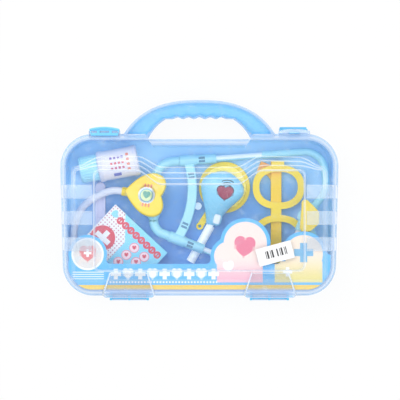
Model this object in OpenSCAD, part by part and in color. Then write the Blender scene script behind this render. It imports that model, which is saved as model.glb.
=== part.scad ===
// Toy doctor case: a clamshell of two moulded shells with a carrying handle,
// lying on its back with its instruments packed inside.
// X runs across the case, Y towards the handle, Z from the back face to the clear lid.

/* [Case] */
// Width of the case over its flange
case_w = 306; // [280:1:340]
// Height of the case over its flange, without the handle
case_h = 178; // [165:1:200]
// Depth of the blue back shell
back_depth = 30; // [27:1:38]
// Depth of the clear front shell
lid_depth = 30; // [27:1:38]
// Corner radius of the flange at the handle side
corner_top = 36; // [28:1:44]
// Corner radius of the flange at the hinge side
corner_bottom = 34; // [28:1:44]
// How much each side draws in towards the hinge side
side_taper = 2.7; // [0:0.1:5]
// Wall of both shells
wall = 1.8; // [1.4:0.1:2.4]
// Draw of the side walls from the flange to the face
draft = 3.6; // [2:0.1:6]
// Radius between side wall and face
face_edge = 5; // [4:0.5:7]
// Width of the flange at the parting line
flange_w = 1.2; // [0.8:0.1:2]
// Thickness of each flange
flange_t = 1.6; // [1:0.1:2.5]

/* [Handle] */
// Reach of the handle above the flange
handle_rise = 37.2; // [32:0.5:45]
// Half width of the handle's outer curve at its widest
handle_half_w = 96.8; // [90:0.5:105]
// Depth of each half of the handle
handle_half_d = 11; // [9:0.5:14]
// Half width of the hand opening at the case
grip_half_w = 56; // [50:0.5:62]
// Half width of the flat top of the hand opening
grip_top_half_w = 36.7; // [32:0.5:40]
// Height of the hand opening
grip_h = 21.8; // [20:0.2:25]
// How far the hand opening is let into the case
grip_let_in = 5.8; // [4:0.2:7]
// Finger recesses along the grip
grip_fingers = 5; // [3:1:6]
// Spacing of the finger recesses
finger_pitch = 11.9; // [10:0.1:13]
// Depth of the finger recesses
finger_depth = 1.8; // [1:0.1:3]

/* [Lid relief] */
// Number of steps up to the lid's middle panel
relief_steps = 4; // [2:1:5]
// Height of each step
step_h = 0.6; // [0.4:0.1:0.8]
// Half width of the middle panel
panel_half_w = 115.6; // [105:0.5:125]
// Bottom edge of the middle panel, below the middle of the case
panel_low = 61.9; // [55:0.5:66]
// Height of the side ribs
rib_h = 14.6; // [10:0.2:18]
// Spacing of the side ribs
rib_pitch = 28.6; // [22:0.2:32]
// Number of ribs on each side
rib_count = 3; // [1:1:3]
// How far the ribs stand off the shell
rib_proud = 1; // [0.6:0.1:1.2]

/* [Hinges] */
// Distance of each hinge's middle from the case's side
hinge_in = 76; // [60:1:90]
// Width of each hinge
hinge_w = 43; // [36:1:50]
// Radius of the moulded pin bar
hinge_pin_r = 1.5; // [1.2:0.1:1.7]
// Outer radius of the knuckles
knuckle_r = 2.7; // [2.6:0.1:3.2]
// Thickness of the ears that hold a pin bar
ear_t = 3; // [2:0.1:4]
// Width of a foot at the floor side
foot_w = 58; // [50:1:66]
// Width of a foot at its top
foot_top_w = 41; // [34:1:46]
// How far a foot reaches below the flange
foot_drop = 1.4; // [0.5:0.1:2]

/* [Latches] */
// Distance of each latch's middle from the case's side
latch_in = 49; // [45:1:54]
// Width of a latch
latch_w = 32.5; // [28:0.5:36]
// Thickness of the latch's plates
latch_t = 1.8; // [1.4:0.1:2.4]
// Depth of the catch lug on the lid
lug_d = 11.4; // [9:0.2:14]
// Height of the catch lug above the flange
lug_rise = 5; // [4:0.1:6]
// How far the lug's top bows up in its middle
lug_bow = 2.2; // [1:0.1:3]
// Width of the window in the lug
lug_window_w = 13.6; // [10:0.1:16]
// Height of the window in the lug
lug_window_h = 3.1; // [2:0.1:3.4]
// Overhang of the latch's finger lip
latch_lip = 2.6; // [1:0.1:4]

/* [Insert card] */
// Thickness of the printed card
card_t = 0.6; // [0.4:0.1:1]
// Height of the card's plain middle, from its bottom edge
card_h = 28; // [22:1:34]

/* [Jar] */
// Radius of the jar
jar_r = 17.2; // [14:0.2:18]
// Length of the jar without its cap
jar_len = 45; // [40:1:50]
// Radius of the jar's cap
cap_r = 14.4; // [12:0.2:16]
// Length of the cap
cap_len = 20; // [14:1:24]
// Grip ribs round the cap
cap_ribs = 24; // [12:1:30]

/* [Flat toys] */
// Long side of the carton
carton_l = 78.5; // [60:0.5:80]
// Short side of the carton
carton_w = 52; // [40:0.5:56]
// Thickness of the carton
carton_t = 14; // [8:0.5:20]
// Length of the thermometer
thermo_l = 98; // [80:1:104]
// Width of the thermometer
thermo_w = 11; // [8:0.5:14]
// Thickness of the thermometer
thermo_t = 8.2; // [8.1:0.1:9]

/* [Stethoscope] */
// Width of the heart-shaped chest piece
heart_w = 48; // [40:0.5:52]
// Thickness of each half of the chest piece
heart_half_t = 5; // [4:0.2:7]
// Radius of the headset's bent tubes
arm_r = 4.2; // [3.9:0.1:4.4]
// Radius of the sleeves on the headset
sleeve_r = 6.2; // [5.8:0.1:6.6]
// Radius of the ear elbows
elbow_r = 5.2; // [4.8:0.1:5.6]
// Radius of the flange at each ear
flange_r = 7.5; // [6.5:0.1:7.6]
// Radius of the white rods
rod_r = 3; // [2.4:0.1:3.2]
// Radius of the flexible tube
tube_r = 4.2; // [3.5:0.1:4.2]

/* [Pulse meter] */
// Length of the egg-shaped head
egg_l = 61; // [54:0.5:66]
// Width of the egg-shaped head
egg_w = 43; // [38:0.5:46]
// Thickness of the egg-shaped head
egg_t = 24; // [20:0.5:26]
// Radius of the white handle
stem_r = 4.9; // [4.3:0.1:5]
// Length of the white handle
stem_l = 46; // [40:1:54]
// Travel of the push button
button_travel = 1.2; // [0.8:0.1:1.5]

/* [Hand mirror] */
// Radius of the mirror's rim
mirror_r = 28.4; // [24:0.2:28.6]
// Thickness of the mirror's rim
mirror_t = 4; // [3:0.1:5]

/* [Glasses] */
// Outer size of a rim across the face
rim_w = 49; // [44:0.5:52]
// Outer height of a rim
rim_h = 57.4; // [50:0.5:60]
// Width of the rim's band
rim_band = 7.4; // [5:0.1:9]
// Thickness of the glasses' front
rim_t = 3.5; // [2.5:0.1:4.5]
// Gap between the rims at the bridge
bridge_gap = 6.4; // [4:0.2:9]
// Width of the bridge and the temples
temple_w = 13; // [9:0.5:14]
// Thickness of each temple
temple_t = 3; // [2:0.1:3.5]

/* [Hammer] */
// Length of the hammer's handle
hammer_l = 50; // [40:1:52]
// Thickness of the hammer's head
hammer_t = 11; // [8:0.5:13]
// Radius of the hammer's handle
hammer_stem_r = 4.5; // [3.5:0.1:5.5]

/* [Fits] */
// Radial clearance of a pin in its knuckle
pin_clearance = 0.06; // [0.03:0.01:0.1]
// Gap between parts that move past each other
gap = 0.4; // [0.3:0.05:0.6]
// Half of the gap between the two flanges
seam = 0.1; // [0.05:0.05:0.2]

/* [Hidden] */

$fn = 48;

shell_blue = [0.50, 0.80, 0.98];
clear_pale = [0.85, 0.90, 0.98, 0.35];
latch_blue = [0.36, 0.74, 0.94];
toy_blue = [0.60, 0.89, 0.98];
toy_yellow = [0.96, 0.86, 0.31];
toy_white = [0.93, 0.93, 0.97];
card_blue = [0.34, 0.71, 0.95];

parting = back_depth;                 // height of the parting plane
half_w = case_w / 2;
half_h = case_h / 2;
hinge_x = half_w - hinge_in;
latch_x = half_w - latch_in;
floor_z = wall;                       // inside face of the back shell
lid_face = parting + lid_depth - relief_steps * step_h;
edge_points = 9;                      // points on each corner of an outline
over = 1;                             // how far a cut runs past what it cuts

// ---------- outlines and skins ----------

function arc(c, r, a0, a1, n) =
    [for (i = [0:n]) let (a = a0 + (a1 - a0) * i / n) [c[0] + r * cos(a), c[1] + r * sin(a)]];

// The flange's outline, drawn in by an even amount
function outline(inset) =
    let (tr = corner_top, br = corner_bottom)
    concat(
        arc([half_w - tr, half_h - tr], tr - inset, 0, 90, edge_points),
        arc([tr - half_w, half_h - tr], tr - inset, 90, 180, edge_points),
        arc([br + side_taper - half_w, br - half_h], br - inset, 180, 270, edge_points),
        arc([half_w - side_taper - br, br - half_h], br - inset, 270, 360, edge_points)
    );

function lift(points, z) = [for (p = points) [p[0], p[1], z]];

// Rings of a tub that deepens from the parting plane: draft on its wall, a round edge, a flat face
function tub(depth, edge, inset, way) =
    concat(
        [lift(outline(flange_w + inset), parting - way * over)],
        [for (a = [0:30:90])
            lift(outline(flange_w + draft + inset + edge * (1 - cos(a))),
                parting + way * (depth - edge + edge * sin(a)))]
    );

// A closed solid through rings of equally many points; a folded ring is the section of a channel
module skin(rings, folded = false) {
    m = len(rings);
    n = len(rings[0]);
    last = (m - 1) * n;
    sides = [for (i = [0:m - 2], j = [0:n - 1])
        let (k = (j + 1) % n)
        each [[i * n + j, (i + 1) * n + k, i * n + k], [i * n + j, (i + 1) * n + j, (i + 1) * n + k]]];
    caps = folded
        ? [for (j = [0:n / 2 - 2])
            each [[j, j + 1, n - 2 - j, n - 1 - j],
                [last + n - 1 - j, last + n - 2 - j, last + j + 1, last + j]]]
        : [[for (j = [0:n - 1]) j], [for (j = [n - 1:-1:0]) last + j]];
    polyhedron([for (ring = rings) each ring], concat(sides, caps));
}

module tub_solid(depth, edge, inset, way) {
    rings = tub(depth, edge, inset, way);
    skin(way > 0 ? rings : [for (i = [len(rings) - 1:-1:0]) rings[i]]);
}

// ---------- handle ----------

handle_base = half_h - 64;            // centre of the handle's outer curve
handle_power = 2.5;
handle_stations = 50;
handle_top = half_h + handle_rise;
grip_low = half_h - grip_let_in;
root_low = half_h - 5;

function handle_outer(s) =
    let (b = handle_top - handle_base,
        start = asin(pow((root_low - handle_base) / b, handle_power / 2)),
        a = start + (180 - 2 * start) * s, c = cos(a))
    [handle_half_w * sign(c) * pow(abs(c), 2 / handle_power),
        handle_base + b * pow(sin(a), 2 / handle_power)];

// One side of the hand opening is a parabola, its top a row of finger recesses
function grip_side(u) =
    let (p = [grip_half_w + over, root_low - 2], q = [grip_half_w - 6.3, grip_low + grip_h * 0.64],
        r = [grip_top_half_w, grip_low + grip_h])
    (1 - u) * (1 - u) * p + 2 * u * (1 - u) * q + u * u * r;

function grip_top(x) =
    let (row = finger_pitch * grip_fingers / 2)
    [x, grip_low + grip_h + (abs(x) < row ? finger_depth * (1 - pow(cos(180 * x / finger_pitch
        + (grip_fingers % 2 == 0 ? 0 : 90)), 2)) : 0)];

grip_side_share = 0.2;
function handle_inner(s) =
    s < grip_side_share ? grip_side(s / grip_side_share)
    : s > 1 - grip_side_share ? let (p = grip_side((1 - s) / grip_side_share)) [-p[0], p[1]]
    : grip_top(grip_top_half_w * (1 - 2 * (s - grip_side_share) / (1 - 2 * grip_side_share)));

// A half handle is a channel: one closed ring across it, carried from root to root
section_points = 8;
function handle_ring(s, way) =
    let (o = handle_outer(s), i = handle_inner(s), wide = norm(o - i), q = wall / wide)
    concat(
        [for (j = [0:section_points]) let (u = j / section_points)
            channel_point(o + (i - o) * u, handle_half_d * channel_height(u), way)],
        [for (j = [section_points:-1:0]) let (u = j / section_points)
            channel_point(o + (i - o) * (q + (1 - 2 * q) * u),
                (handle_half_d - wall) * channel_height(u), way)]
    );
function channel_height(u) = pow(1 - pow(abs(2 * u - 1), 3), 1 / 3);
function channel_point(p, h, way) = [p[0], p[1], parting + way * (seam + h)];

module half_handle(way) {
    rings = [for (i = [0:handle_stations]) handle_ring(i / handle_stations, way)];
    skin(way < 0 ? rings : [for (i = [handle_stations:-1:0]) rings[i]], folded = true);
}

module grip_notch(grow) {
    translate([-grip_half_w - grow, grip_low - grow, -over])
        cube([2 * (grip_half_w + grow), 20, parting + lid_depth + 2 * over]);
}

// ---------- shells ----------

module rib_boxes() {
    for (side = [-1, 1], i = [0:rib_count - 1])
        translate([side > 0 ? panel_half_w + over : -half_w, 25.3 - rib_h / 2 - i * rib_pitch, over])
            cube([half_w - panel_half_w - over, rib_h, parting + lid_depth]);
}

module flange(z) {
    translate([0, 0, z]) linear_extrude(flange_t) polygon(outline(0));
}

// A wedge-shaped foot over a hinge, from the face down to the floor side of the case
module foot(z, t) {
    for (side = [-1, 1])
        translate([side * hinge_x, 0, z]) linear_extrude(t)
            polygon([[-foot_w / 2, 4 - half_h - foot_drop], [4 - foot_w / 2, -half_h - foot_drop],
                [foot_w / 2 - 4, -half_h - foot_drop], [foot_w / 2, 4 - half_h - foot_drop],
                [foot_top_w / 2, -panel_low - over], [-foot_top_w / 2, -panel_low - over]]);
}

hinge_y = -half_h - knuckle_r + 0.2;

module bar(x, y, z, r, length) {
    translate([x - length / 2, y, z]) rotate([0, 90, 0]) cylinder(r = r, h = length);
}

// An ear of the back shell: seen along X, a plate with a round end about the pin
module ear(x, y, z, r, root_y, low, high) {
    bar(x, y, z, r, ear_t);
    translate([x - ear_t / 2, min(y, root_y), low]) cube([ear_t, abs(root_y - y), high - low]);
}

latch_y = half_h + 2.9;
latch_z = parting - 6;
latch_ear_r = 2.4;
latch_knuckle_r = 2.5;
latch_pin_r = 1.4;
latch_ear_w = latch_w - 2;
tongue_t = 1.6;

module back_shell() {
    color(shell_blue)
    difference() {
        union() {
            difference() {
                union() {
                    intersection() {
                        union() {
                            tub_solid(back_depth, face_edge, 0, -1);
                            intersection() {
                                tub_solid(back_depth, face_edge, -rib_proud, -1);
                                rib_boxes();
                            }
                        }
                        translate([-case_w, -case_w, 0]) cube([2 * case_w, 2 * case_w, parting - seam]);
                    }
                    flange(parting - seam - flange_t);
                    foot(face_edge - 1, back_depth - face_edge - over);
                }
                grip_notch(0);
            }
            half_handle(-1);
            for (side = [-1, 1]) {
                latch_mount(side * latch_x);
                hinge_mount(side * hinge_x);
            }
        }
        difference() {
            tub_solid(back_depth - wall, face_edge - wall, wall, -1);
            grip_notch(wall);
        }
        for (side = [-1, 1])
            hinge_clearance(side * hinge_x, parting - 5, 5 + over);
    }
}

module latch_mount(x) {
    for (side = [-1, 1]) {
        at = x + side * (latch_ear_w - ear_t) / 2;
        ear(at, latch_y, latch_z, latch_ear_r, half_h - 3, latch_z - 1.9, latch_z);
        translate([at - ear_t / 2, half_h - 3, latch_z - over]) cube([ear_t, 3.6, parting - latch_z]);
    }
    bar(x, latch_y, latch_z, latch_pin_r, latch_ear_w - ear_t);
    translate([x - lug_window_w / 2 + over, half_h - 2, parting - 2.2])
        cube([lug_window_w - 2 * over, 2 + over, 2]);
    translate([x - lug_window_w / 2 + over, half_h + 1 - tongue_t / 2, parting - 2.2])
        cube([lug_window_w - 2 * over, tongue_t, lug_d - 0.6]);
}

module hinge_mount(x) {
    for (side = [-1, 0, 1])
        ear(x + side * (hinge_w - ear_t) / 2, hinge_y, parting, knuckle_r, 3 - half_h,
            parting - knuckle_r - 2, parting - seam);
    bar(x, hinge_y, parting, hinge_pin_r, hinge_w - ear_t);
}

// Room in a flange for the other shell's knuckles
module hinge_clearance(x, z, t) {
    bay = (hinge_w - 3 * ear_t) / 2;
    for (side = [-1, 1])
        translate([x + side * (ear_t + bay) / 2 - bay / 2, -half_h - 10, z])
            cube([bay, 10 + flange_w - 0.2, t]);
}

module front_shell() {
    color(clear_pale)
    difference() {
        union() {
            difference() {
                union() {
                    intersection() {
                        union() {
                            tub_solid(lid_depth - relief_steps * step_h, face_edge, 0, 1);
                            intersection() {
                                tub_solid(lid_depth - (relief_steps - 2) * step_h, face_edge, -rib_proud, 1);
                                rib_boxes();
                            }
                        }
                        translate([-case_w, -case_w, parting + seam])
                            cube([2 * case_w, 2 * case_w, lid_depth]);
                    }
                    flange(parting + seam);
                    foot(parting + 6, lid_depth - 6 - step_h);
                    for (i = [1:relief_steps])
                        translate([0, 0, lid_face - over])
                            linear_extrude(over + i * step_h) relief(i, 0);
                }
                grip_notch(0);
            }
            half_handle(1);
            for (side = [-1, 1]) {
                lug(side * latch_x);
                knuckles(side * hinge_x);
            }
        }
        difference() {
            union() {
                tub_solid(lid_depth - relief_steps * step_h - wall, face_edge - wall, wall, 1);
                translate([0, 0, lid_face - wall - over])
                    linear_extrude(over + relief_steps * step_h) relief(relief_steps, wall);
            }
            grip_notch(wall);
        }
        for (side = [-1, 1]) {
            lug_hollow(side * latch_x);
            ear_room(side * hinge_x);
        }
    }
}

// One terrace of the lid's relief: its top edge dips in the middle between two shoulders
module relief(i, inset) {
    k = (relief_steps - i) / max(1, relief_steps - 1);
    outer = i == relief_steps ? panel_half_w : panel_half_w + 24 * k;
    low = i == relief_steps ? panel_low : panel_low + 13 * k;
    shoulder = 49.8 + 15 * k;
    dip = 34.6 + 17.8 * k;
    offset(r = 10) offset(delta = -10 - inset)
        polygon([[-outer, -low], [outer, -low], [outer, shoulder], [64.5, shoulder], [45.8 - 2 * k, dip],
            [2 * k - 45.8, dip], [-64.5, shoulder], [-outer, shoulder]]);
}

// A catch lug's outline seen from the front: a low dome on the flange
function lug_dome(half, rise, bow) =
    concat([for (i = [0:10]) let (u = 1 - i / 5) [half * u, half_h + rise - bow * u * u]],
        [[-half, half_h - 4], [half, half_h - 4]]);

module lug(x) {
    translate([x, 0, parting + seam]) linear_extrude(lug_d)
        polygon(lug_dome(latch_w / 2 + 1, lug_rise, lug_bow));
}

module lug_hollow(x) {
    translate([x, 0, 0]) {
        translate([0, 0, parting - over]) linear_extrude(over + seam + lug_d - wall) intersection() {
            offset(delta = -wall) polygon(lug_dome(latch_w / 2 + 1, lug_rise, lug_bow));
            translate([-latch_w, half_h - flange_w + 0.2]) square([2 * latch_w, 20]);
        }
        translate([-lug_window_w / 2, half_h + 0.2, parting + lug_d - 2 * wall])
            cube([lug_window_w, lug_window_h, 4 * wall]);
    }
}

module knuckles(x) {
    bay = (hinge_w - 3 * ear_t) / 2 - 2 * gap;
    for (side = [-1, 1]) {
        at = x + side * (ear_t + bay + 2 * gap) / 2;
        difference() {
            union() {
                bar(at, hinge_y, parting, knuckle_r, bay);
                translate([at - bay / 2, hinge_y, parting + seam])
                    cube([bay, -half_h + 3 - hinge_y, knuckle_r - seam]);
                translate([at - bay / 2, hinge_y + 1, parting + seam])
                    cube([bay, -half_h + 4 - hinge_y, 7]);
            }
            bar(at, hinge_y, parting, hinge_pin_r + pin_clearance, bay + 2 * over);
        }
    }
}

// Room in the lid's flange for the back shell's ears
module ear_room(x) {
    for (at = [-hinge_w / 2, -ear_t / 2, hinge_w / 2 - ear_t])
        translate([x + at - gap, -half_h - 10, parting - over])
            cube([ear_t + 2 * gap, 10 + gap, over + knuckle_r + gap]);
}

// ---------- latches ----------

latch_plate_y = half_h + lug_rise + gap;   // underside of the latch's plate at its middle
latch_reach = parting + lug_d + seam + gap; // inner face of the latch's front wall

module latch_plate_2d(t, half) {
    polygon(concat(
        [for (i = [0:10]) let (u = 1 - i / 5) [half * u, latch_plate_y + t - lug_bow * u * u]],
        [for (i = [10:-1:0]) let (u = 1 - i / 5) [half * u, latch_plate_y - lug_bow * u * u]]));
}

module latch(x) {
    half = latch_w / 2;
    knuckle_w = latch_ear_w - 2 * ear_t - 2 * gap;
    color(latch_blue)
    translate([x, 0, 0])
    difference() {
        union() {
            translate([0, 0, latch_z + latch_ear_r + gap])
                linear_extrude(latch_reach + latch_t + latch_lip - latch_z - latch_ear_r - gap)
                    latch_plate_2d(latch_t, half);
            translate([0, 0, latch_reach]) linear_extrude(latch_t) difference() {
                polygon(concat([for (i = [0:10]) let (u = 1 - i / 5)
                    [half * u, latch_plate_y + latch_t / 2 - lug_bow * u * u]],
                    [[-half + 1.5, half_h - 2.4], [half - 1.5, half_h - 2.4]]));
                for (side = [-1, 1])
                    translate([side * (half + 6.5) / 2, half_h + 1.8])
                        square([half - 9.5, 2.4], center = true);
                translate([0, half_h + 1.8]) square([10.6, 2.4], center = true);
            }
            bar(0, latch_y, latch_z, latch_knuckle_r, knuckle_w);
            translate([-knuckle_w / 2, latch_y + latch_pin_r + 0.4, latch_z])
                cube([knuckle_w, 1.6, latch_ear_r + gap + 2]);
        }
        bar(0, latch_y, latch_z, latch_pin_r + pin_clearance, knuckle_w + 2 * over);
    }
}

module latch_left() {
    latch(-latch_x);
}

// Folded back about its pin, as it hangs when it is open
module latch_right() {
    translate([0, latch_y, latch_z]) rotate([-180, 0, 0]) translate([0, -latch_y, -latch_z])
        latch(latch_x);
}

// ---------- insert card ----------

card_z = lid_face - wall - card_t - 1.2;
card_low = half_h - flange_w - draft - wall - 1;
card_half_w = half_w - flange_w - draft - wall - 3;

module insert_card() {
    color(card_blue) {
        translate([0, 0, card_z]) linear_extrude(card_t) intersection() {
            offset(r = -5) offset(delta = 5) {
                translate([-card_half_w, -card_low]) square([2 * card_half_w, card_h]);
                translate([-121.7, -42.7]) circle(r = 21);
                translate([50, -31]) circle(r = 27.5);
                translate([32, -45]) circle(r = 20);
                translate([113.5, -43]) circle(r = 25);
                translate([100, -card_low]) square([card_half_w - 100, 38]);
            }
            offset(r = -flange_w - draft - wall - 0.8) polygon(outline(0));
        }
        translate([-case_w * 0.34, 0.1 - card_low, floor_z + 2])
            cube([case_w * 0.68, card_t, card_z + card_t / 2 - floor_z - 2]);
    }
}

// ---------- jar ----------

jar_at = [63.2 - half_w, half_h - 32.4, floor_z + jar_r + 0.1];
jar_turn = 10.5;
jar_neck_r = cap_r - 3;

module lie(at, turn) {
    translate(at) rotate([0, 0, turn]) rotate([0, 90, 0]) children();
}

// The jar's wall draws in a little between two rounded rims
module jar_body() {
    rim = 2.2;
    waist = jar_r - 0.7;
    color(toy_white) lie(jar_at, jar_turn) rotate_extrude()
        polygon(concat(
            [[0, jar_len / 2], [jar_r - rim, jar_len / 2]],
            arc([jar_r - rim, jar_len / 2 - rim], rim, 80, 0, 4),
            [[jar_r, jar_len / 2 - 5], [waist, jar_len / 2 - 7],
                [waist, 7 - jar_len / 2], [jar_r, 5 - jar_len / 2]],
            arc([jar_r - rim, rim - jar_len / 2], rim, 0, -80, 4),
            [[jar_r - rim, -jar_len / 2], [jar_neck_r, -jar_len / 2],
                [jar_neck_r, -jar_len / 2 - cap_len * 0.7], [0, -jar_len / 2 - cap_len * 0.7]]));
}

module jar_cap() {
    color(toy_blue) lie(jar_at, jar_turn) translate([0, 0, -jar_len / 2 - cap_len - 0.2])
        difference() {
            rotate_extrude() polygon(concat([[0, 0]], arc([cap_r - 1.5, 1.5], 1.5, -90, 0, 4),
                [[cap_r, cap_len], [0, cap_len]]));
            translate([0, 0, cap_len * 0.3]) cylinder(r = jar_neck_r + 0.1, h = cap_len);
            for (i = [0:cap_ribs - 1])
                rotate([0, 0, i * 360 / cap_ribs]) translate([cap_r + 0.3, 0, 2.5])
                    cylinder(r = 0.9, h = cap_len, $fn = 16);
        }
}

// ---------- carton and thermometer ----------

carton_corner = [-1.18 * carton_l, 0.145 * carton_l];
carton_turn = -43;
carton_z = floor_z + 2 * tube_r + 0.2;
tuck_t = 0.4;                         // cardboard of the tuck flap

module medicine_carton() {
    color([0.9, 0.93, 0.98]) translate([carton_corner[0], carton_corner[1], carton_z])
        rotate([0, 0, carton_turn]) translate([0, -carton_w, 0]) difference() {
            cube([carton_l, carton_w, carton_t]);
            for (x = [-over, carton_l - 0.5])
                translate([x, 0.8, carton_t - 3 * tuck_t]) cube([over + 0.5, carton_w - 1.6, tuck_t]);
        }
}

thermo_x = 43.1 - half_w;
thermo_top = 36;
thermo_tip_r = 3;

module thermometer() {
    color([0.82, 0.82, 0.94]) translate([thermo_x, thermo_top, floor_z]) difference() {
        linear_extrude(thermo_t) hull() {
            translate([0, -thermo_w / 2]) circle(d = thermo_w);
            translate([0, -thermo_l * 0.7]) circle(d = thermo_w);
            translate([0, thermo_tip_r - thermo_l]) circle(r = thermo_tip_r);
        }
        translate([2.5 - thermo_w / 2, -thermo_l * 0.4, thermo_t - 0.8])
            cube([thermo_w - 5, thermo_l * 0.22, over + 0.8]);
    }
}

// ---------- stethoscope ----------

// The headset lies tilted: on the floor at its upper tee, on the pulse meter's handle and on the glasses
headset_tilt = [-5.4, -1.8, 0];
headset_y = 18;
headset_z = floor_z + sleeve_r + 4.7;
upper_tee = [-12.8, 60.2];
lower_tee = [-24.5, -27.4];
upper_turn = 4.3;
lower_turn = -21;
sleeve_l = 18;
coupler_l = 22.5;
coupler_r = sleeve_r - 0.8;
rod_l = 51;
rod_grip = 8;                         // length of a rod inside its coupler and its bend

module headset() {
    translate([0, headset_y, headset_z]) rotate(headset_tilt) translate([0, -headset_y, 0]) children();
}

module from_tee(at, turn) {
    headset() translate([at[0], at[1], 0]) rotate([0, 0, turn]) children();
}

module rod(r, start, length) {
    translate([start, 0, 0]) rotate([0, 90, 0]) cylinder(r = r, h = length);
}

// A round bar of runs [length, 0] and bends [radius, angle] from the origin along +X; a slimmer core
// joins each leg to the next
module run(r, legs, i = 0) {
    if (i < len(legs)) {
        leg = legs[i];
        side = leg[1] < 0 ? 1 : 0;
        if (i > 0) rod(r - 0.3, -1, 2);
        if (leg[1] == 0) {
            rod(r, 0, leg[0]);
            translate([leg[0], 0, 0]) run(r, legs, i + 1);
        } else {
            mirror([0, side, 0]) {
                translate([0, leg[0], 0]) rotate([0, 0, -90])
                    rotate_extrude(angle = abs(leg[1])) translate([leg[0], 0]) circle(r = r);
                translate([leg[0] * sin(abs(leg[1])), leg[0] * (1 - cos(leg[1])), 0])
                    rotate([0, 0, abs(leg[1])]) mirror([0, side, 0]) run(r, legs, i + 1);
            }
        }
    }
}

module tee_body(at, turn) {
    translate([at[0], at[1], 0]) rotate([0, 0, turn]) {
        rod(sleeve_r, -sleeve_l / 2, sleeve_l);
        rod(coupler_r, sleeve_l / 2 - over, coupler_l + over);
    }
}

// Bores for the ear elbow and the rod, and the snap window with its bar
module tee_bores(at, turn) {
    translate([at[0], at[1], 0]) rotate([0, 0, turn]) {
        rod(elbow_r - 1, -sleeve_l / 2 - over, sleeve_l / 2 + over);
        rod(rod_r, sleeve_l / 2 + coupler_l - rod_grip, rod_grip + over);
        for (y = [-2, 1.6])
            translate([sleeve_l / 2 + 3, y - 1.4, coupler_r - 1.6]) cube([7, 2.6, 3]);
    }
}

bridge_chord = norm(upper_tee - lower_tee);
bridge_sag = 10;
bridge_r = (bridge_chord * bridge_chord / 4 + bridge_sag * bridge_sag) / (2 * bridge_sag);
bridge_half = asin(bridge_chord / 2 / bridge_r);
bridge_turn = atan2(upper_tee[1] - lower_tee[1], upper_tee[0] - lower_tee[0]);
bridge_w = 10.6;
bridge_t = 7;

// About the centre of the bridge's curve, at an angle up from its lower end
module on_bridge(angle) {
    translate([lower_tee[0], lower_tee[1], 0]) rotate([0, 0, bridge_turn])
        translate([bridge_chord / 2, bridge_r - bridge_sag, 0]) rotate([0, 0, angle - 90 - bridge_half])
            children();
}

module headset_bridge() {
    edge = 1.5;
    color(toy_blue) headset() difference() {
        union() {
            tee_body(upper_tee, upper_turn);
            tee_body(lower_tee, lower_turn);
            on_bridge(0) rotate_extrude(angle = 2 * bridge_half) translate([bridge_r, 0])
                offset(r = edge) square([bridge_w - 2 * edge, bridge_t - 2 * edge], center = true);
        }
        tee_bores(upper_tee, upper_turn);
        tee_bores(lower_tee, lower_turn);
        for (end = [0, 1], y = [-1.9, 1.9])
            on_bridge(end * 2 * bridge_half + (1 - 2 * end) * 17.6 / bridge_r * 57.3)
                translate([bridge_r - 3.4, y - 1.3, bridge_t / 2 - 1.2]) cube([6.8, 2.6, 3]);
    }
}

// Elbow from inside a sleeve round towards the other ear, with a flanged end
module ear_elbow(at, turn, way, bend, out) {
    color(toy_blue) from_tee(at, turn) mirror([1, 0, 0]) {
        rod(elbow_r - 1.05, 0.5, sleeve_l / 2 + 1);
        translate([sleeve_l / 2 + 0.3, 0, 0]) run(elbow_r, [[out, 0], [bend[0], way * bend[1]], [3, 0]]);
        translate([sleeve_l / 2 + 0.3 + out + bend[0] * sin(bend[1]), way * bend[0] * (1 - cos(bend[1])), 0])
            rotate([0, 0, way * bend[1]]) rotate([0, 90, 0])
                rotate_extrude() polygon([[0, 1], [elbow_r - 0.6, 1], [elbow_r + 0.3, 3], [flange_r, 6.5],
                    [flange_r, 8], [flange_r - 1, 8.8], [0, 8.8]]);
    }
}

module ear_elbow_upper() {
    ear_elbow(upper_tee, upper_turn, -1, [22, 86], 7.5);
}

module ear_elbow_lower() {
    ear_elbow(lower_tee, lower_turn, 1, [15.5, 66], 8);
}

rod_start = sleeve_l / 2 + coupler_l - rod_grip + 0.2;
bend_start = sleeve_l / 2 + coupler_l + rod_l;
arm_leg = half_w - 107;               // straight part, which ends a bend short of the case's side
first_bend = 22;
mid_leg = 13.7;
last_bend = 25;
bend_rest = 44.3;                     // turn of the last bend
socket_lap = 11.9;                    // from the junction's middle to an arm's end

function turned(v, a) = [v[0] * cos(a) - v[1] * sin(a), v[0] * sin(a) + v[1] * cos(a)];

// Where an arm's last straight part begins, and the way it runs
function arm_knee(at, turn, way) =
    let (q = 90 + bend_rest)
    at + turned([bend_start + arm_leg + first_bend + last_bend * (sin(q) - 1),
        way * (first_bend + mid_leg + last_bend * -cos(q))], turn);
function arm_aim(turn, way) = let (a = turn + way * (90 + bend_rest)) [cos(a), sin(a)];

upper_knee = arm_knee(upper_tee, upper_turn, -1);
lower_knee = arm_knee(lower_tee, lower_turn, 1);
upper_aim = arm_aim(upper_turn, -1);
lower_aim = arm_aim(lower_turn, 1);
upper_last = cross(lower_knee - upper_knee, lower_aim) / cross(upper_aim, lower_aim);
lower_last = cross(lower_knee - upper_knee, upper_aim) / cross(upper_aim, lower_aim);

module arm_rod_upper() {
    color(toy_white) from_tee(upper_tee, upper_turn)
        rod(rod_r - 0.05, rod_start, rod_l + 2 * rod_grip - 0.4);
}

module arm_rod_lower() {
    color(toy_white) from_tee(lower_tee, lower_turn)
        rod(rod_r - 0.05, rod_start, rod_l + 2 * rod_grip - 0.4);
}

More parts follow.
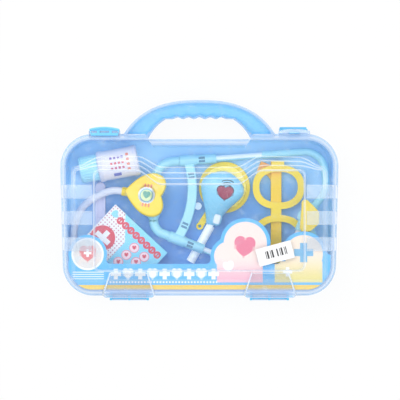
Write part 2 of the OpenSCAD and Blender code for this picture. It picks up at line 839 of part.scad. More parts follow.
// Half channel that backs a rod from its coupler to its bend
module arm_channel(at, turn) {
    color(toy_blue) from_tee(at, turn) difference() {
        rod(arm_r - 0.3, sleeve_l / 2 + coupler_l + seam, rod_l - 2 * seam);
        rod(rod_r, sleeve_l / 2 + coupler_l - over, rod_l + 2 * over);
        rotate([-45, 0, 0]) translate([sleeve_l / 2 + coupler_l - over, -2 * arm_r, 0.2])
            cube([rod_l + 2 * over, 4 * arm_r, 2 * arm_r]);
    }
}

module arm_channel_upper() {
    arm_channel(upper_tee, upper_turn);
}

module arm_channel_lower() {
    arm_channel(lower_tee, lower_turn);
}

// Bent tube that takes the rod's end
module arm_bend(at, turn, way, last) {
    color(toy_blue) from_tee(at, turn) difference() {
        translate([bend_start, 0, 0])
            run(arm_r, [[arm_leg, 0], [first_bend, way * 90], [mid_leg, 0], [last_bend, way * bend_rest],
                [last - socket_lap, 0]]);
        rod(rod_r, bend_start - over, rod_grip + over + 0.2);
    }
}

module arm_bend_upper() {
    arm_bend(upper_tee, upper_turn, -1, upper_last);
}

module arm_bend_lower() {
    arm_bend(lower_tee, lower_turn, 1, lower_last);
}

junction_at = upper_knee + upper_last * upper_aim;
socket_turns = [upper_turn - 90 - bend_rest + 180, lower_turn + 90 + bend_rest - 180, -112];
socket_rs = [arm_r + 1.2, arm_r + 1.1, arm_r + 1.3];
socket_l = 17;
hub_r = arm_r + 4.4;
hub_half_t = arm_r + 1.4;
socket_deep = socket_lap - 0.3;       // where a socket's bore ends, from the middle

module tube_junction() {
    color(toy_blue) headset() translate([junction_at[0], junction_at[1], 0]) difference() {
        union() {
            rotate([0, 0, 7]) rotate_extrude()
                polygon([[0, -hub_half_t], [hub_r - 3.6, -hub_half_t], [hub_r, -2.6], [hub_r, 2.6],
                    [hub_r - 3.6, hub_half_t], [0, hub_half_t]]);
            for (i = [0:2]) rotate([0, 0, socket_turns[i]]) rod(socket_rs[i], 2, socket_l - 2);
        }
        for (turn = socket_turns) rotate([0, 0, turn]) rod(arm_r + 0.1, socket_deep, socket_l);
    }
}

// Flexible tube: its route from the chest piece, along the floor, up to the junction
tube_route = [
    [-82, 25.4, 17.7], [-86, 26, 17.5], [-91, 26.6, 17.2], [-98, 26.3, 16.8], [-108.5, 22.6, 15.8],
    [-119.5, 16.8, 14.6],
    [-129.5, 7.8, 11.6], [-136, -3.6, 8.8], [-139.2, -17, 6.9], [-139.2, -30, 6.1], [-136, -44, 6.1],
    [-129, -57, 6.1], [-118, -67, 6.1], [-104, -73, 6.1], [-88, -75, 6.1], [-70, -75, 6.1], [-50, -75, 6.1],
    [-30, -75, 6.1], [-10, -75, 6.1], [10, -75, 6.1], [30, -75, 6.1], [50, -75, 6.1], [70, -75, 6.1],
    [88, -74.5, 6.1], [100, -71, 6.8], [107.5, -63, 9], [109.5, -53, 12.6], [108.4, -44, 16.2],
    [107.2, -34.5, 18.6], [107.6, -25.6, 20.1], [109.9, -19.5, 19.7], [112.4, -13.4, 19.2]
];
tube_sides = 10;

function unit(v) = v / norm(v);
function along(path, i) = unit(path[min(i + 1, len(path) - 1)] - path[max(i - 1, 0)]);

module sweep(path, r, sides) {
    skin([for (i = [0:len(path) - 1])
        let (t = along(path, i), s = unit(cross([0, 0, 1], t)), u = cross(t, s))
        [for (j = [0:sides - 1]) let (a = 360 * j / sides) path[i] + r * (cos(a) * s + sin(a) * u)]]);
}

module chest_tube() {
    color(toy_white) sweep(tube_route, tube_r, tube_sides);
}

heart_at = [-59.8, 21.6];
heart_turn = -98;
heart_scale = heart_w / 32;
heart_lift = flange_r + 0.4;
heart_points = 40;
neck_r = tube_r + 0.7;

// A full heart curve about its middle, drawn in evenly towards it
function heart_curve(inset) =
    let (k = 1 - 2 * inset / heart_w)
    [for (i = [0:heart_points - 1]) let (t = i * 360 / heart_points)
        k * heart_scale * [16 * sign(sin(t)) * pow(abs(sin(t)), 2),
            13 * cos(t) - 5 * cos(2 * t) - 2 * cos(3 * t) - cos(4 * t) + 2.5]];

module heart_half(way, edge) {
    rings = concat([lift(heart_curve(0), 0)],
        [for (a = [0:30:90])
            lift(heart_curve(edge * (1 - cos(a))), way * (heart_half_t - edge + edge * sin(a)))]);
    skin(way > 0 ? [for (i = [len(rings) - 1:-1:0]) rings[i]] : rings);
}

module place_heart() {
    headset() translate([heart_at[0], heart_at[1], heart_lift + heart_half_t]) rotate([0, 0, heart_turn])
        children();
}

// The front half has a round recess for its print, the back half the spigot that holds the tube
module heart_front() {
    color(toy_yellow) place_heart() difference() {
        translate([0, 0, 0.1]) heart_half(1, 2.6);
        translate([0, heart_w * 0.05, heart_half_t - 0.4]) cylinder(r = heart_w * 0.2, h = over + 0.4);
    }
}

module heart_back() {
    spigot = heart_w * 0.455;
    color(toy_yellow) place_heart() difference() {
        union() {
            heart_half(-1, 1.6);
            translate([0, 6 - spigot, -neck_r + 0.2]) rotate([90, 0, 0]) cylinder(r = neck_r, h = 10);
        }
        translate([0, -spigot, 0.2 - neck_r]) rotate([90, 0, 0]) cylinder(r = tube_r + 0.1, h = 10);
        translate([0, 0, 5]) cube([heart_w, 2 * heart_w, 10], center = true);
    }
}

// ---------- pulse meter ----------

egg_at = [13.3, -11.2];
egg_turn = -14;
egg_z = floor_z + mirror_t + egg_t / 2 + 0.6;
egg_neck_w = 6.4;
egg_drop = egg_z - floor_z - stem_r - 0.1;
egg_rings = 20;
egg_sides = 14;
stem_turn = 150.4;

// Half width along the egg, from its neck at 0 to its round end at 1
function egg_half_w(u) =
    max(0.4, egg_neck_w * (1 - u) + (egg_w / 2 - 0.28 * egg_neck_w) * pow(sin(180 * pow(u, 2.1)), 0.62));

function egg_ring(u, way) =
    let (w = egg_half_w(u), h = min(egg_t / 2, 0.56 * w + 0.9 * pow(1 - u, 3)))
    [for (j = [0:egg_sides]) let (a = 180 * j / egg_sides)
        [w * cos(a), u * egg_l, egg_z - egg_drop * pow(1 - u, 3) + way * (0.05 + h * pow(sin(a), 0.8))]];

module egg_half(way) {
    rings = [for (i = [0:egg_rings]) egg_ring((1 - cos(180 * i / egg_rings)) / 2, way)];
    skin(way > 0 ? [for (i = [egg_rings:-1:0]) rings[i]] : rings);
}

module place_egg() {
    translate([egg_at[0], egg_at[1], 0]) rotate([0, 0, egg_turn]) children();
}

// The button stands in a pocket on the right shoulder of the neck
button_at = [4.4, 7.5];
button_w = 7.3;
button_l = 10.6;
button_floor = egg_z - egg_drop * pow(1 - (button_at[1] + button_l / 2 + 1.5) / egg_l, 3) + 0.3;
button_h = 3.6;

module button_outline(grow) {
    offset(r = 2.4 + grow) square([button_w - 4.8, button_l - 4.8], center = true);
}

module button_well(grow, low, h) {
    translate([button_at[0], button_at[1], low]) linear_extrude(h) button_outline(grow);
}

module neck_bore() {
    translate([0, -over, egg_z - egg_drop]) rotate([-90, 0, 0]) cylinder(r = stem_r - 1.1, h = 6);
}

module pulse_front() {
    color(toy_blue) place_egg() difference() {
        union() {
            egg_half(1);
            button_well(1.5, button_floor, 3.9);
        }
        button_well(gap, button_floor + 0.7, 10);
        neck_bore();
    }
}

module pulse_back() {
    color(toy_blue) place_egg() difference() {
        egg_half(-1);
        neck_bore();
    }
}

module pulse_button() {
    color(toy_white) place_egg() button_well(0, button_floor + 0.9 + button_travel, button_h);
}

module pulse_handle() {
    color(toy_white) translate([egg_at[0], egg_at[1], floor_z + stem_r + 0.1]) rotate([0, 0, stem_turn])
        rotate([-90, 0, 0]) difference() {
            union() {
                translate([0, 0, 1.45]) cylinder(r = stem_r, h = stem_l);
                translate([0, 0, -3.2]) cylinder(r = stem_r - 2.2, h = 8);
            }
            translate([0, 0, 8]) cylinder(r = stem_r - 1.4, h = stem_l);
        }
}

// ---------- hand mirror ----------

mirror_at = [27.8, 30.2];
mirror_stem_turn = 237.5;
mirror_stem_l = 51;
mirror_band = 4;
mirror_depth = 1.6;

module mirror_frame() {
    color(toy_yellow) translate([mirror_at[0], mirror_at[1], floor_z]) difference() {
        union() {
            cylinder(r = mirror_r, h = mirror_t);
            rotate([0, 0, mirror_stem_turn]) translate([0, -3.5, 0])
                cube([mirror_stem_l, 7, mirror_t - over]);
            rotate([0, 0, mirror_stem_turn]) translate([mirror_stem_l, 0, 0])
                cylinder(r = 4, h = mirror_t - 0.8);
        }
        translate([0, 0, mirror_t - mirror_depth])
            cylinder(r = mirror_r - mirror_band, h = 2 * mirror_depth);
        rotate([0, 0, mirror_stem_turn]) translate([mirror_stem_l, 0, -over])
            cylinder(r = 1.8, h = mirror_t + over);
    }
}

module mirror_face() {
    color([0.85, 0.87, 0.9]) translate([mirror_at[0], mirror_at[1], floor_z + mirror_t - mirror_depth])
        cylinder(r = mirror_r - mirror_band - 0.1, h = 0.8);
}

// Small round cap lying beside the bridge
module round_cap() {
    color(toy_white) translate([-1.6, 9.4, floor_z]) difference() {
        cylinder(r = 4.1, h = 7);
        translate([0, 0, 1.2]) cylinder(r = 2.7, h = 7);
    }
}

// ---------- glasses ----------

glasses_at = [87.8, 2.8];
rim_power = 2.3;
rim_y = (rim_w + bridge_gap) / 2;
rim_z = floor_z + 2 * temple_t + 0.6;
hinge_y_reach = rim_y + rim_w / 2 + 4.4;
temple_x = -2.6;
hook_r = 16;

function rim_curve(a, b) =
    [for (i = [0:47]) let (t = i * 7.5, c = cos(t), s = sin(t))
        [a * sign(c) * pow(abs(c), 2 / rim_power), b * sign(s) * pow(abs(s), 2 / rim_power)]];

// A band of even width along a path
function side_of(path, i, w) =
    let (t = unit(path[min(i + 1, len(path) - 1)] - path[max(i - 1, 0)]))
    path[i] + w * [-t[1], t[0]];

module ribbon(path, w) {
    polygon(concat([for (i = [0:len(path) - 1]) side_of(path, i, w / 2)],
        [for (i = [len(path) - 1:-1:0]) side_of(path, i, -w / 2)]));
}

module glasses_frame() {
    color(toy_yellow) translate([glasses_at[0], glasses_at[1], rim_z]) difference() {
        union() {
            linear_extrude(rim_t) {
                for (side = [-1, 1])
                    translate([0, side * rim_y]) polygon(rim_curve(rim_h / 2, rim_w / 2));
                translate([temple_x - 5.5, -bridge_gap / 2 - 3]) square([11, bridge_gap + 6]);
            }
            for (side = [-1, 1])
                translate([temple_x + 1.8 - 7, side > 0 ? hinge_y_reach - 8 : -hinge_y_reach, 0.2])
                    cube([14, 8, rim_t + 1.2]);
        }
        for (side = [-1, 1]) {
            translate([0, side * rim_y, -over]) linear_extrude(rim_t + 3)
                polygon(rim_curve(rim_h / 2 - rim_band, rim_w / 2 - rim_band));
            translate([temple_x + 1.8 - 5, side > 0 ? hinge_y_reach - 2 : -hinge_y_reach - over, rim_t])
                cube([10, 2 + over, 3]);
        }
    }
}

// A folded temple runs across the front's back and ends in an ear hook
module temple(z, way) {
    color(toy_yellow) translate([glasses_at[0], glasses_at[1], z]) mirror([0, way > 0 ? 1 : 0, 0])
        linear_extrude(temple_t) {
            ribbon(concat([[temple_x, -hinge_y_reach]],
                [for (a = [0:11:66]) [temple_x - hook_r * (1 - cos(a)), 32.5 + hook_r * sin(a)]],
                [[temple_x - hook_r * (1 - cos(66)) - 9.5, 32.5 + hook_r * sin(66) + 4.2]]), temple_w - 1);
        }
}

module temple_upper() {
    temple(floor_z + temple_t + 0.3, 1);
}

module temple_lower() {
    temple(floor_z, -1);
}

// ---------- hammer ----------

hammer_at = [120, 0];

module reflex_hammer() {
    color(toy_yellow) translate([hammer_at[0], hammer_at[1], headset_z + 12.9]) {
        difference() {
            linear_extrude(hammer_t) offset(r = 4)
                polygon([[-3.5, 12.6], [7.4, 1.6], [7.4, -8], [0.5, -14], [-5.5, -14]]);
            translate([2, -3, hammer_t - 0.8]) cylinder(r = 4, h = over + 0.8);
        }
        translate([-3, -8, hammer_t / 2]) rotate([90, 0, 0]) rotate([0, -4, 0])
            cylinder(r = hammer_stem_r, h = hammer_l);
    }
}

back_shell();
front_shell();
latch_left();
latch_right();
insert_card();
jar_body();
jar_cap();
medicine_carton();
thermometer();
heart_front();
heart_back();
chest_tube();
headset_bridge();
ear_elbow_upper();
ear_elbow_lower();
arm_rod_upper();
arm_rod_lower();
arm_channel_upper();
arm_channel_lower();
arm_bend_upper();
arm_bend_lower();
tube_junction();
pulse_front();
pulse_back();
pulse_button();
pulse_handle();
mirror_frame();
mirror_face();
round_cap();
glasses_frame();
temple_upper();
temple_lower();
reflex_hammer();
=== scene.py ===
"""Toy doctor case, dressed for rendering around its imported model.

The case lies on its back. X runs across it, Y towards the handle and Z from the back face to the clear
lid. Shapes are worked out in millimetres as numpy arrays, and become metres when a piece is made.
"""

import math

import bmesh
import bpy
import mathutils
import numpy as np
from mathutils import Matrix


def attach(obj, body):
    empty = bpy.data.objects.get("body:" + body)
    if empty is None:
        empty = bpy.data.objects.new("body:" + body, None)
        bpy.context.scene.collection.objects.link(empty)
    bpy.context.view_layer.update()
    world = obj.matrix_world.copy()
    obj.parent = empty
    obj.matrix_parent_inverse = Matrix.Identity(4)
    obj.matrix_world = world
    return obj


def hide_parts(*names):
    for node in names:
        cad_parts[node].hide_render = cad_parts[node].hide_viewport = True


bl_info = {
    "name": "Toy doctor case",
    "version": (1, 0, 0),
    "blender": (4, 5, 0),
    "location": "3D View > Sidebar > Toy case",
    "description": "Moulded case with a clear lid, its packed toys, their prints and a white stage",
    "category": "Add Mesh",
}

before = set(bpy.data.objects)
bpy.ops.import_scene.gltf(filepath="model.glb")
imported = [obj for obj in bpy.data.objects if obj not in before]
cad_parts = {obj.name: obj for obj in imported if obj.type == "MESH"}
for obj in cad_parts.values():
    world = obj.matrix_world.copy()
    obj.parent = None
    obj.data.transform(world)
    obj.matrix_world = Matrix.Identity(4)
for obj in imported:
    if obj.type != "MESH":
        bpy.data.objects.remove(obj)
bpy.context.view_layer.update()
MM = 0.001

# ---------- sizes shared by several pieces, in millimetres ----------

PARTING, SEAM, WALL = 30.0, 0.1, 1.8
FLANGE_W, FLANGE_T = 1.2, 1.6
DRAFT, FACE_EDGE = 3.6, 5.0
HALF_W, HALF_H, TAPER = 153.0, 89.0, 2.7
TOP_CORNER, LOW_CORNER = 36.0, 34.0
LID_FACE = 57.6
STEPS, STEP_H = 4, 0.6
PANEL_HALF_W = 115.6
GRIP_LOW, GRIP_HALF_W, GRIP_TOP_HALF_W, GRIP_H = 83.2, 56.0, 36.7, 21.8
FINGERS, FINGER_PITCH, FINGER_DIP = 5, 11.9, 1.8
HANDLE_HALF_W, HANDLE_TOP, HANDLE_BASE, HANDLE_T = 96.8, 126.2, 25.0, 11.0
HINGE_X, HINGE_Y, KNUCKLE_R, PIN_R, EAR_PITCH = 77.0, -91.5, 2.69, 1.5, 20.0
LATCH_X, LATCH_Y, LATCH_Z, LATCH_PIN_R, LATCH_EARS = 104.0, 91.9, 24.0, 1.4, 13.75
LUG_HALF, EAR_HALF = 17.25, 1.5
FOOT_TOP, FOOT_OUT, FOOT_NARROW, FOOT_WIDE = -62.9, -90.4, 20.5, 29.0
RIB_YS, RIB_PITCH, RIB_HALF = (25.3, -3.3, -31.9), 28.6, 7.3
LABEL_AT, LABEL_TURN = (82.2, -41.9), 15
# Outlines are compared at even angles about one point
RING_POINTS = 720
RING_CENTRE = np.array([0.0, -20.0])


def rgb(*colour):
    """Linear values of a colour written as sRGB: ((c + 0.055) / 1.055) ** 2.4, or c / 12.92 near black."""
    c = np.asarray(colour, float)
    return tuple(np.where(c <= 0.04045, c / 12.92, ((c + 0.055) / 1.055) ** 2.4))


# ---------- the panel's values ----------


def length(name, text, mm):
    return bpy.props.FloatProperty(name=name, description=text, default=mm * MM, min=0.0, unit="LENGTH",
                                   precision=4)


def colour(name, text, srgb):
    return bpy.props.FloatVectorProperty(name=name, description=text, default=rgb(*srgb), size=3, min=0.0,
                                         max=1.0, subtype="COLOR")


class CaseSizes(bpy.types.PropertyGroup):
    """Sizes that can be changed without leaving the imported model's joints."""

    step_slope: length("Step slope", "Width of the slope of each terrace on the lid", 1.5)
    tube_radius: length("Tube radius", "Radius of the stethoscope's soft tube", 4.1)
    edge_round: length("Edge rounding", "Rounding on the edges of the flat toys", 0.7)
    camera_height: length("Camera height", "Height of the camera above the parting line", 2400)
    frame_width: length("Frame width", "Width that the picture covers at the parting line", 440)


class CaseColours(bpy.types.PropertyGroup):
    """Colours of the moulded parts and prints."""

    tray: colour("Tray", "Outside of the blue tray and its handle", (0.37, 0.77, 0.92))
    # The tray's inside colour is painted shade: its deeper blue stands for the shade inside the deep tray
    tray_inside_shade: colour("Tray inside", "Deeper blue of the tray's floor", (0.29, 0.58, 0.87))
    clear: colour("Clear lid", "Tint of the clear lid", (0.90, 0.95, 1.0))
    latch: colour("Latch", "Blue of the snap latches", (0.46, 0.82, 0.98))
    toy_blue: colour("Toy blue", "Light blue of the moulded toys", (0.65, 0.90, 1.0))
    toy_yellow: colour("Toy yellow", "Yellow of the moulded toys", (0.99, 0.87, 0.24))
    toy_white: colour("Toy white", "White of the rods, the handle and the button", (0.88, 0.94, 1.0))
    card: colour("Card", "Ground blue of the printed card", (0.36, 0.73, 0.97))
    card_stripe: colour("Card stripe", "Yellow stripe along the card", (0.93, 0.81, 0.42))
    print_red: colour("Print red", "Red of the prints", (0.86, 0.28, 0.38))
    print_cyan: colour("Print cyan", "Cyan of the carton", (0.55, 0.87, 0.98))


# ---------- shader maths ----------


def arithmetic(operation, swapped=False):
    """A method that adds one Math node with that operation to the finish of its value."""
    def method(self, other=0.0):
        return self.finish.math(operation, *((other, self) if swapped else (self, other)))

    return method


class Value:
    """A number that changes over a surface. Arithmetic on it adds Math nodes, and a | b is the larger of
    two masks."""

    def __init__(self, finish, socket):
        self.finish = finish
        self.socket = socket

    __add__ = __radd__ = arithmetic("ADD")
    __sub__, __rsub__ = arithmetic("SUBTRACT"), arithmetic("SUBTRACT", swapped=True)
    __mul__ = __rmul__ = arithmetic("MULTIPLY")
    __truediv__ = arithmetic("DIVIDE")
    __pow__ = arithmetic("POWER")
    __abs__ = arithmetic("ABSOLUTE")
    __or__ = arithmetic("MAXIMUM")

    def fold(self, period):
        """Distance to the nearest multiple of period."""
        return self.finish.math("PINGPONG", self, period / 2)

    def between(self, low, high):
        """0 at low, 1 at high, with a smooth step between them; low may be above high."""
        if low > high:
            return 1 - self.between(high, low)
        node = self.finish.node("ShaderNodeMapRange", {"interpolation_type": "SMOOTHSTEP"},
                                Value=self, **{"From Min": low, "From Max": high})
        return Value(self.finish, node.outputs["Result"])


class Nodes:
    """An empty node tree that is filled through one method."""

    def __init__(self, tree):
        self.tree = tree
        tree.nodes.clear()

    def node(self, kind, settings=None, **inputs):
        """A node of that type, with its settings first and then the values or links of its sockets."""
        node = self.tree.nodes.new(kind)
        for name, value in (settings or {}).items():
            setattr(node, name, value)
        for name, value in inputs.items():
            self.feed(node.inputs[int(name[1:]) if name[1:].isdigit() else name], value)
        return node

    def feed(self, socket, value):
        if isinstance(value, Value):
            value = value.socket
        if isinstance(value, bpy.types.NodeSocket):
            self.tree.links.new(value, socket)
        elif hasattr(value, "__len__") and socket.type == "RGBA" and len(value) == 3:
            socket.default_value = (*value, 1.0)
        else:
            socket.default_value = value

    def math(self, operation, first, second=0.0):
        node = self.node("ShaderNodeMath", {"operation": operation}, _0=first, _1=second)
        return Value(self, node.outputs[0])


class Finish(Nodes):
    """A material that is written as expressions."""

    def __init__(self, name):
        self.material = bpy.data.materials.new(name)
        self.material.use_nodes = True
        super().__init__(self.material.node_tree)
        self.out = self.node("ShaderNodeOutputMaterial")

    def split(self, vector):
        """The x, y and z of a vector."""
        return [Value(self, s) for s in self.node("ShaderNodeSeparateXYZ", Vector=vector).outputs]

    def place(self):
        """The x, y and z of the surface in millimetres."""
        own = self.node("ShaderNodeTexCoord").outputs["Object"]
        scaled = self.node("ShaderNodeVectorMath", {"operation": "SCALE"}, Vector=own, Scale=1 / MM)
        self.at = scaled.outputs[0]
        return self.split(self.at)

    def noise(self, size, detail=2.0, rough=0.5):
        """Soft noise from 0 to 1 whose blotches are about size millimetres across."""
        node = self.node("ShaderNodeTexNoise", Vector=self.at, Scale=1 / size, Detail=detail, Roughness=rough)
        return Value(self, node.outputs["Fac"])

    def wander(self, middle, spread, size, detail=2.0):
        """A value that drifts over spread about its middle, in blotches of that size."""
        return middle + spread * (self.noise(size, detail) - 0.5)

    def mottle(self, colour, size, low, high, lift=0.0):
        """A colour between low and high times its own strength, in blotches of that size."""
        c = np.array(colour)
        return self.mix(self.noise(size), c * low, np.minimum(1, c * high + lift))

    def normal(self):
        """The x, y and z of the piece's own normal."""
        return self.split(self.node("ShaderNodeTexCoord").outputs["Normal"])

    def level(self):
        """1 where the surface lies flat, 0 where it stands upright, on the piece's own axes."""
        return abs(self.normal()[2])

    def outward(self, x, y):
        """The piece's own normal times (x, y): above 0 where it points away from the origin of x and y."""
        along, up, _ = self.normal()
        return along * x + up * y

    def facing(self, blend):
        """0 where the surface faces the viewer, 1 at a glance."""
        return Value(self, self.node("ShaderNodeLayerWeight", Blend=blend).outputs["Facing"])

    def mix(self, share, first, second):
        """A colour between two colours."""
        node = self.node("ShaderNodeMix", {"data_type": "RGBA"}, _0=share, _6=first, _7=second)
        return node.outputs[2]

    def paint(self, tone, *coats):
        """Lays colours over tone one after the other, each inside its own mask."""
        for mask, colour in coats:
            tone = self.mix(mask, tone, colour)
        return tone

    def surface(self, colour, roughness, bump, depth, **sockets):
        """Ends the material in a Principled shader. bump is a height from 0 to 1, depth its real height
        in millimetres."""
        bumped = self.node("ShaderNodeBump", Height=bump, Distance=depth * MM)
        shader = self.node("ShaderNodeBsdfPrincipled", **{"Base Color": colour, "Roughness": roughness},
                           Normal=bumped.outputs[0])
        for name, value in sockets.items():
            self.feed(shader.inputs[name.replace("_", " ")], value)
        self.feed(self.out.inputs["Surface"], shader.outputs[0])
        return self.material


# Masks over a plane's two values, 1 inside a shape and 0 outside


def local(x, y, centre, turn):
    """x and y about centre, in axes turned by turn degrees."""
    c, s = math.cos(math.radians(turn)), math.sin(math.radians(turn))
    dx, dy = x - centre[0], y - centre[1]
    return dx * c + dy * s, dy * c - dx * s


def far(x, y):
    """Distance from the origin."""
    return (x * x + y * y) ** 0.5


def disc(x, y, radius, soft=0.3):
    """Inside a circle about the origin."""
    return far(x, y).between(radius + soft, radius - soft)


def ring(x, y, radius, half, soft=0.3):
    """Within half of a circle's line."""
    return abs(far(x, y) - radius).between(half + soft, half - soft)


def block(x, y, half_x, half_y, soft=0.3):
    """Inside a rectangle about the origin."""
    return abs(x).between(half_x + soft, half_x - soft) * abs(y).between(half_y + soft, half_y - soft)


def cross(x, y, reach, half):
    """A plus sign of two rectangles."""
    return block(x, y, reach, half) | block(x, y, half, reach)


def heart(x, y, half, soft=0.03):
    """Inside the curve (x2 + y2 - 1) cubed = x2 y3, scaled to a half width."""
    u, v = x / (half / 1.14), y / (half / 1.14)
    r = u * u + v * v - 1
    return (r * r * r - u * u * v * v * v).between(soft, -soft)


# ---------- surfaces ----------


def arc(centre, radius, start, end, count):
    """Points of a circular arc: centre + radius (cos a, sin a), a from start to end in degrees."""
    a = np.radians(np.linspace(start, end, count))
    return np.column_stack([centre[0] + radius * np.cos(a), centre[1] + radius * np.sin(a)])


def unit(vectors):
    """Vectors of the same directions and of length 1."""
    return vectors / np.linalg.norm(vectors, axis=-1, keepdims=True)


def rounded(points, radius, count=8):
    """A closed outline with each corner cut by a quadratic curve that starts radius before it."""
    p = np.asarray(points, float)
    a, b = (p + unit(v) * np.minimum(radius, 0.48 * np.linalg.norm(v, axis=1, keepdims=True))
            for v in (np.roll(p, 1, 0) - p, np.roll(p, -1, 0) - p))
    t = np.linspace(0, 1, count)[None, :, None]
    return ((1 - t) ** 2 * a[:, None] + 2 * t * (1 - t) * p[:, None] + t * t * b[:, None]).reshape(-1, 2)


def round_ring(points):
    """An outline seen from RING_CENTRE at even angles: its radius there, by interpolation along its
    edges."""
    p = np.asarray(points, float)
    t = np.linspace(0, 1, 60, endpoint=False)[None, :, None]
    fine = (p[:, None] * (1 - t) + np.roll(p, -1, 0)[:, None] * t).reshape(-1, 2) - RING_CENTRE
    angle, radius = np.arctan2(fine[:, 1], fine[:, 0]), np.hypot(fine[:, 0], fine[:, 1])
    order = np.argsort(angle)
    a = np.linspace(-math.pi, math.pi, RING_POINTS, endpoint=False)
    r = np.interp(a, angle[order], radius[order], period=2 * math.pi)
    return np.column_stack([r * np.cos(a), r * np.sin(a)]) + RING_CENTRE


def case_outline(inset):
    """The flange's outline drawn in by inset: four corner arcs on sides that lean in by the taper."""
    top_x, low_x = HALF_W - TOP_CORNER, HALF_W - TAPER - LOW_CORNER
    top_y, low_y = HALF_H - TOP_CORNER, LOW_CORNER - HALF_H
    corners = ((top_x, top_y, TOP_CORNER), (-top_x, top_y, TOP_CORNER), (-low_x, low_y, LOW_CORNER),
               (low_x, low_y, LOW_CORNER))
    return round_ring(np.concatenate([arc((x, y), radius - inset, 90 * i, 90 * i + 90, 24)
                                      for i, (x, y, radius) in enumerate(corners)]))


def terrace(i, inset):
    """Outline of terrace i of the lid's relief, drawn in by inset: a dip in its top edge; the three outer
    ones step down at a shoulder and close up along the walls."""
    k = (STEPS - i) / (STEPS - 1)
    high, dip = 49.8 + 15 * k - inset, 34.6 + 17.8 * k - inset
    half = [[45.8 - 2 * k - 0.4 * inset, dip], [64.5 - 0.4 * inset, high]]
    if k:
        out, low, shoulder = 134.4 + 5.1 * k - inset, 69.8 + 5.1 * k - inset, 48.0 + 5.4 * k - inset
        half += [[113, high - 1.5 * k], [129, shoulder], [out, shoulder]]
    else:
        out, low = PANEL_HALF_W - inset, 61.9 - inset
        half += [[out, high]]
    half = np.array([*half, [out, -low]])
    return round_ring(rounded(np.concatenate([half, (half * (-1, 1))[::-1]]), 7))


def at_height(outline, z):
    return np.column_stack([outline, np.full(len(outline), float(z))])


def notch(rings):
    """Draws the walls in towards RING_CENTRE where the hand opening is let into the case, each as far in
    from the opening's edge as it stands in from the flange. The terraces reach less far up and stay."""
    flat = rings[..., :2] - RING_CENTRE
    top = flat[..., 1].max(axis=1, keepdims=True)
    walls = top > HALF_H + 6
    low = top + GRIP_LOW - HALF_H
    slope = GRIP_HALF_W / (GRIP_LOW - RING_CENTRE[1])
    cut = (np.abs(flat[..., 0]) < slope * flat[..., 1]) & (flat[..., 1] > low) & walls
    share = np.where(cut, low / np.where(cut, flat[..., 1], 1), 1)
    rings[..., :2] = RING_CENTRE + flat * share[..., None]
    return rings


def tub_rings(depth, inset, edge, way, start):
    """Wall and rounded edge of a tub: drafted from the height start off the parting plane, then a quarter
    turn of radius edge."""
    wall = [at_height(case_outline(FLANGE_W + inset + DRAFT * h / (depth - edge)), PARTING + way * h)
            for h in np.linspace(start, depth - edge, 5)]
    turn = [at_height(case_outline(FLANGE_W + DRAFT + inset + edge * (1 - math.cos(a))),
                      PARTING + way * (depth - edge + edge * math.sin(a)))
            for a in np.radians(np.arange(15, 91, 15))]
    return wall + turn


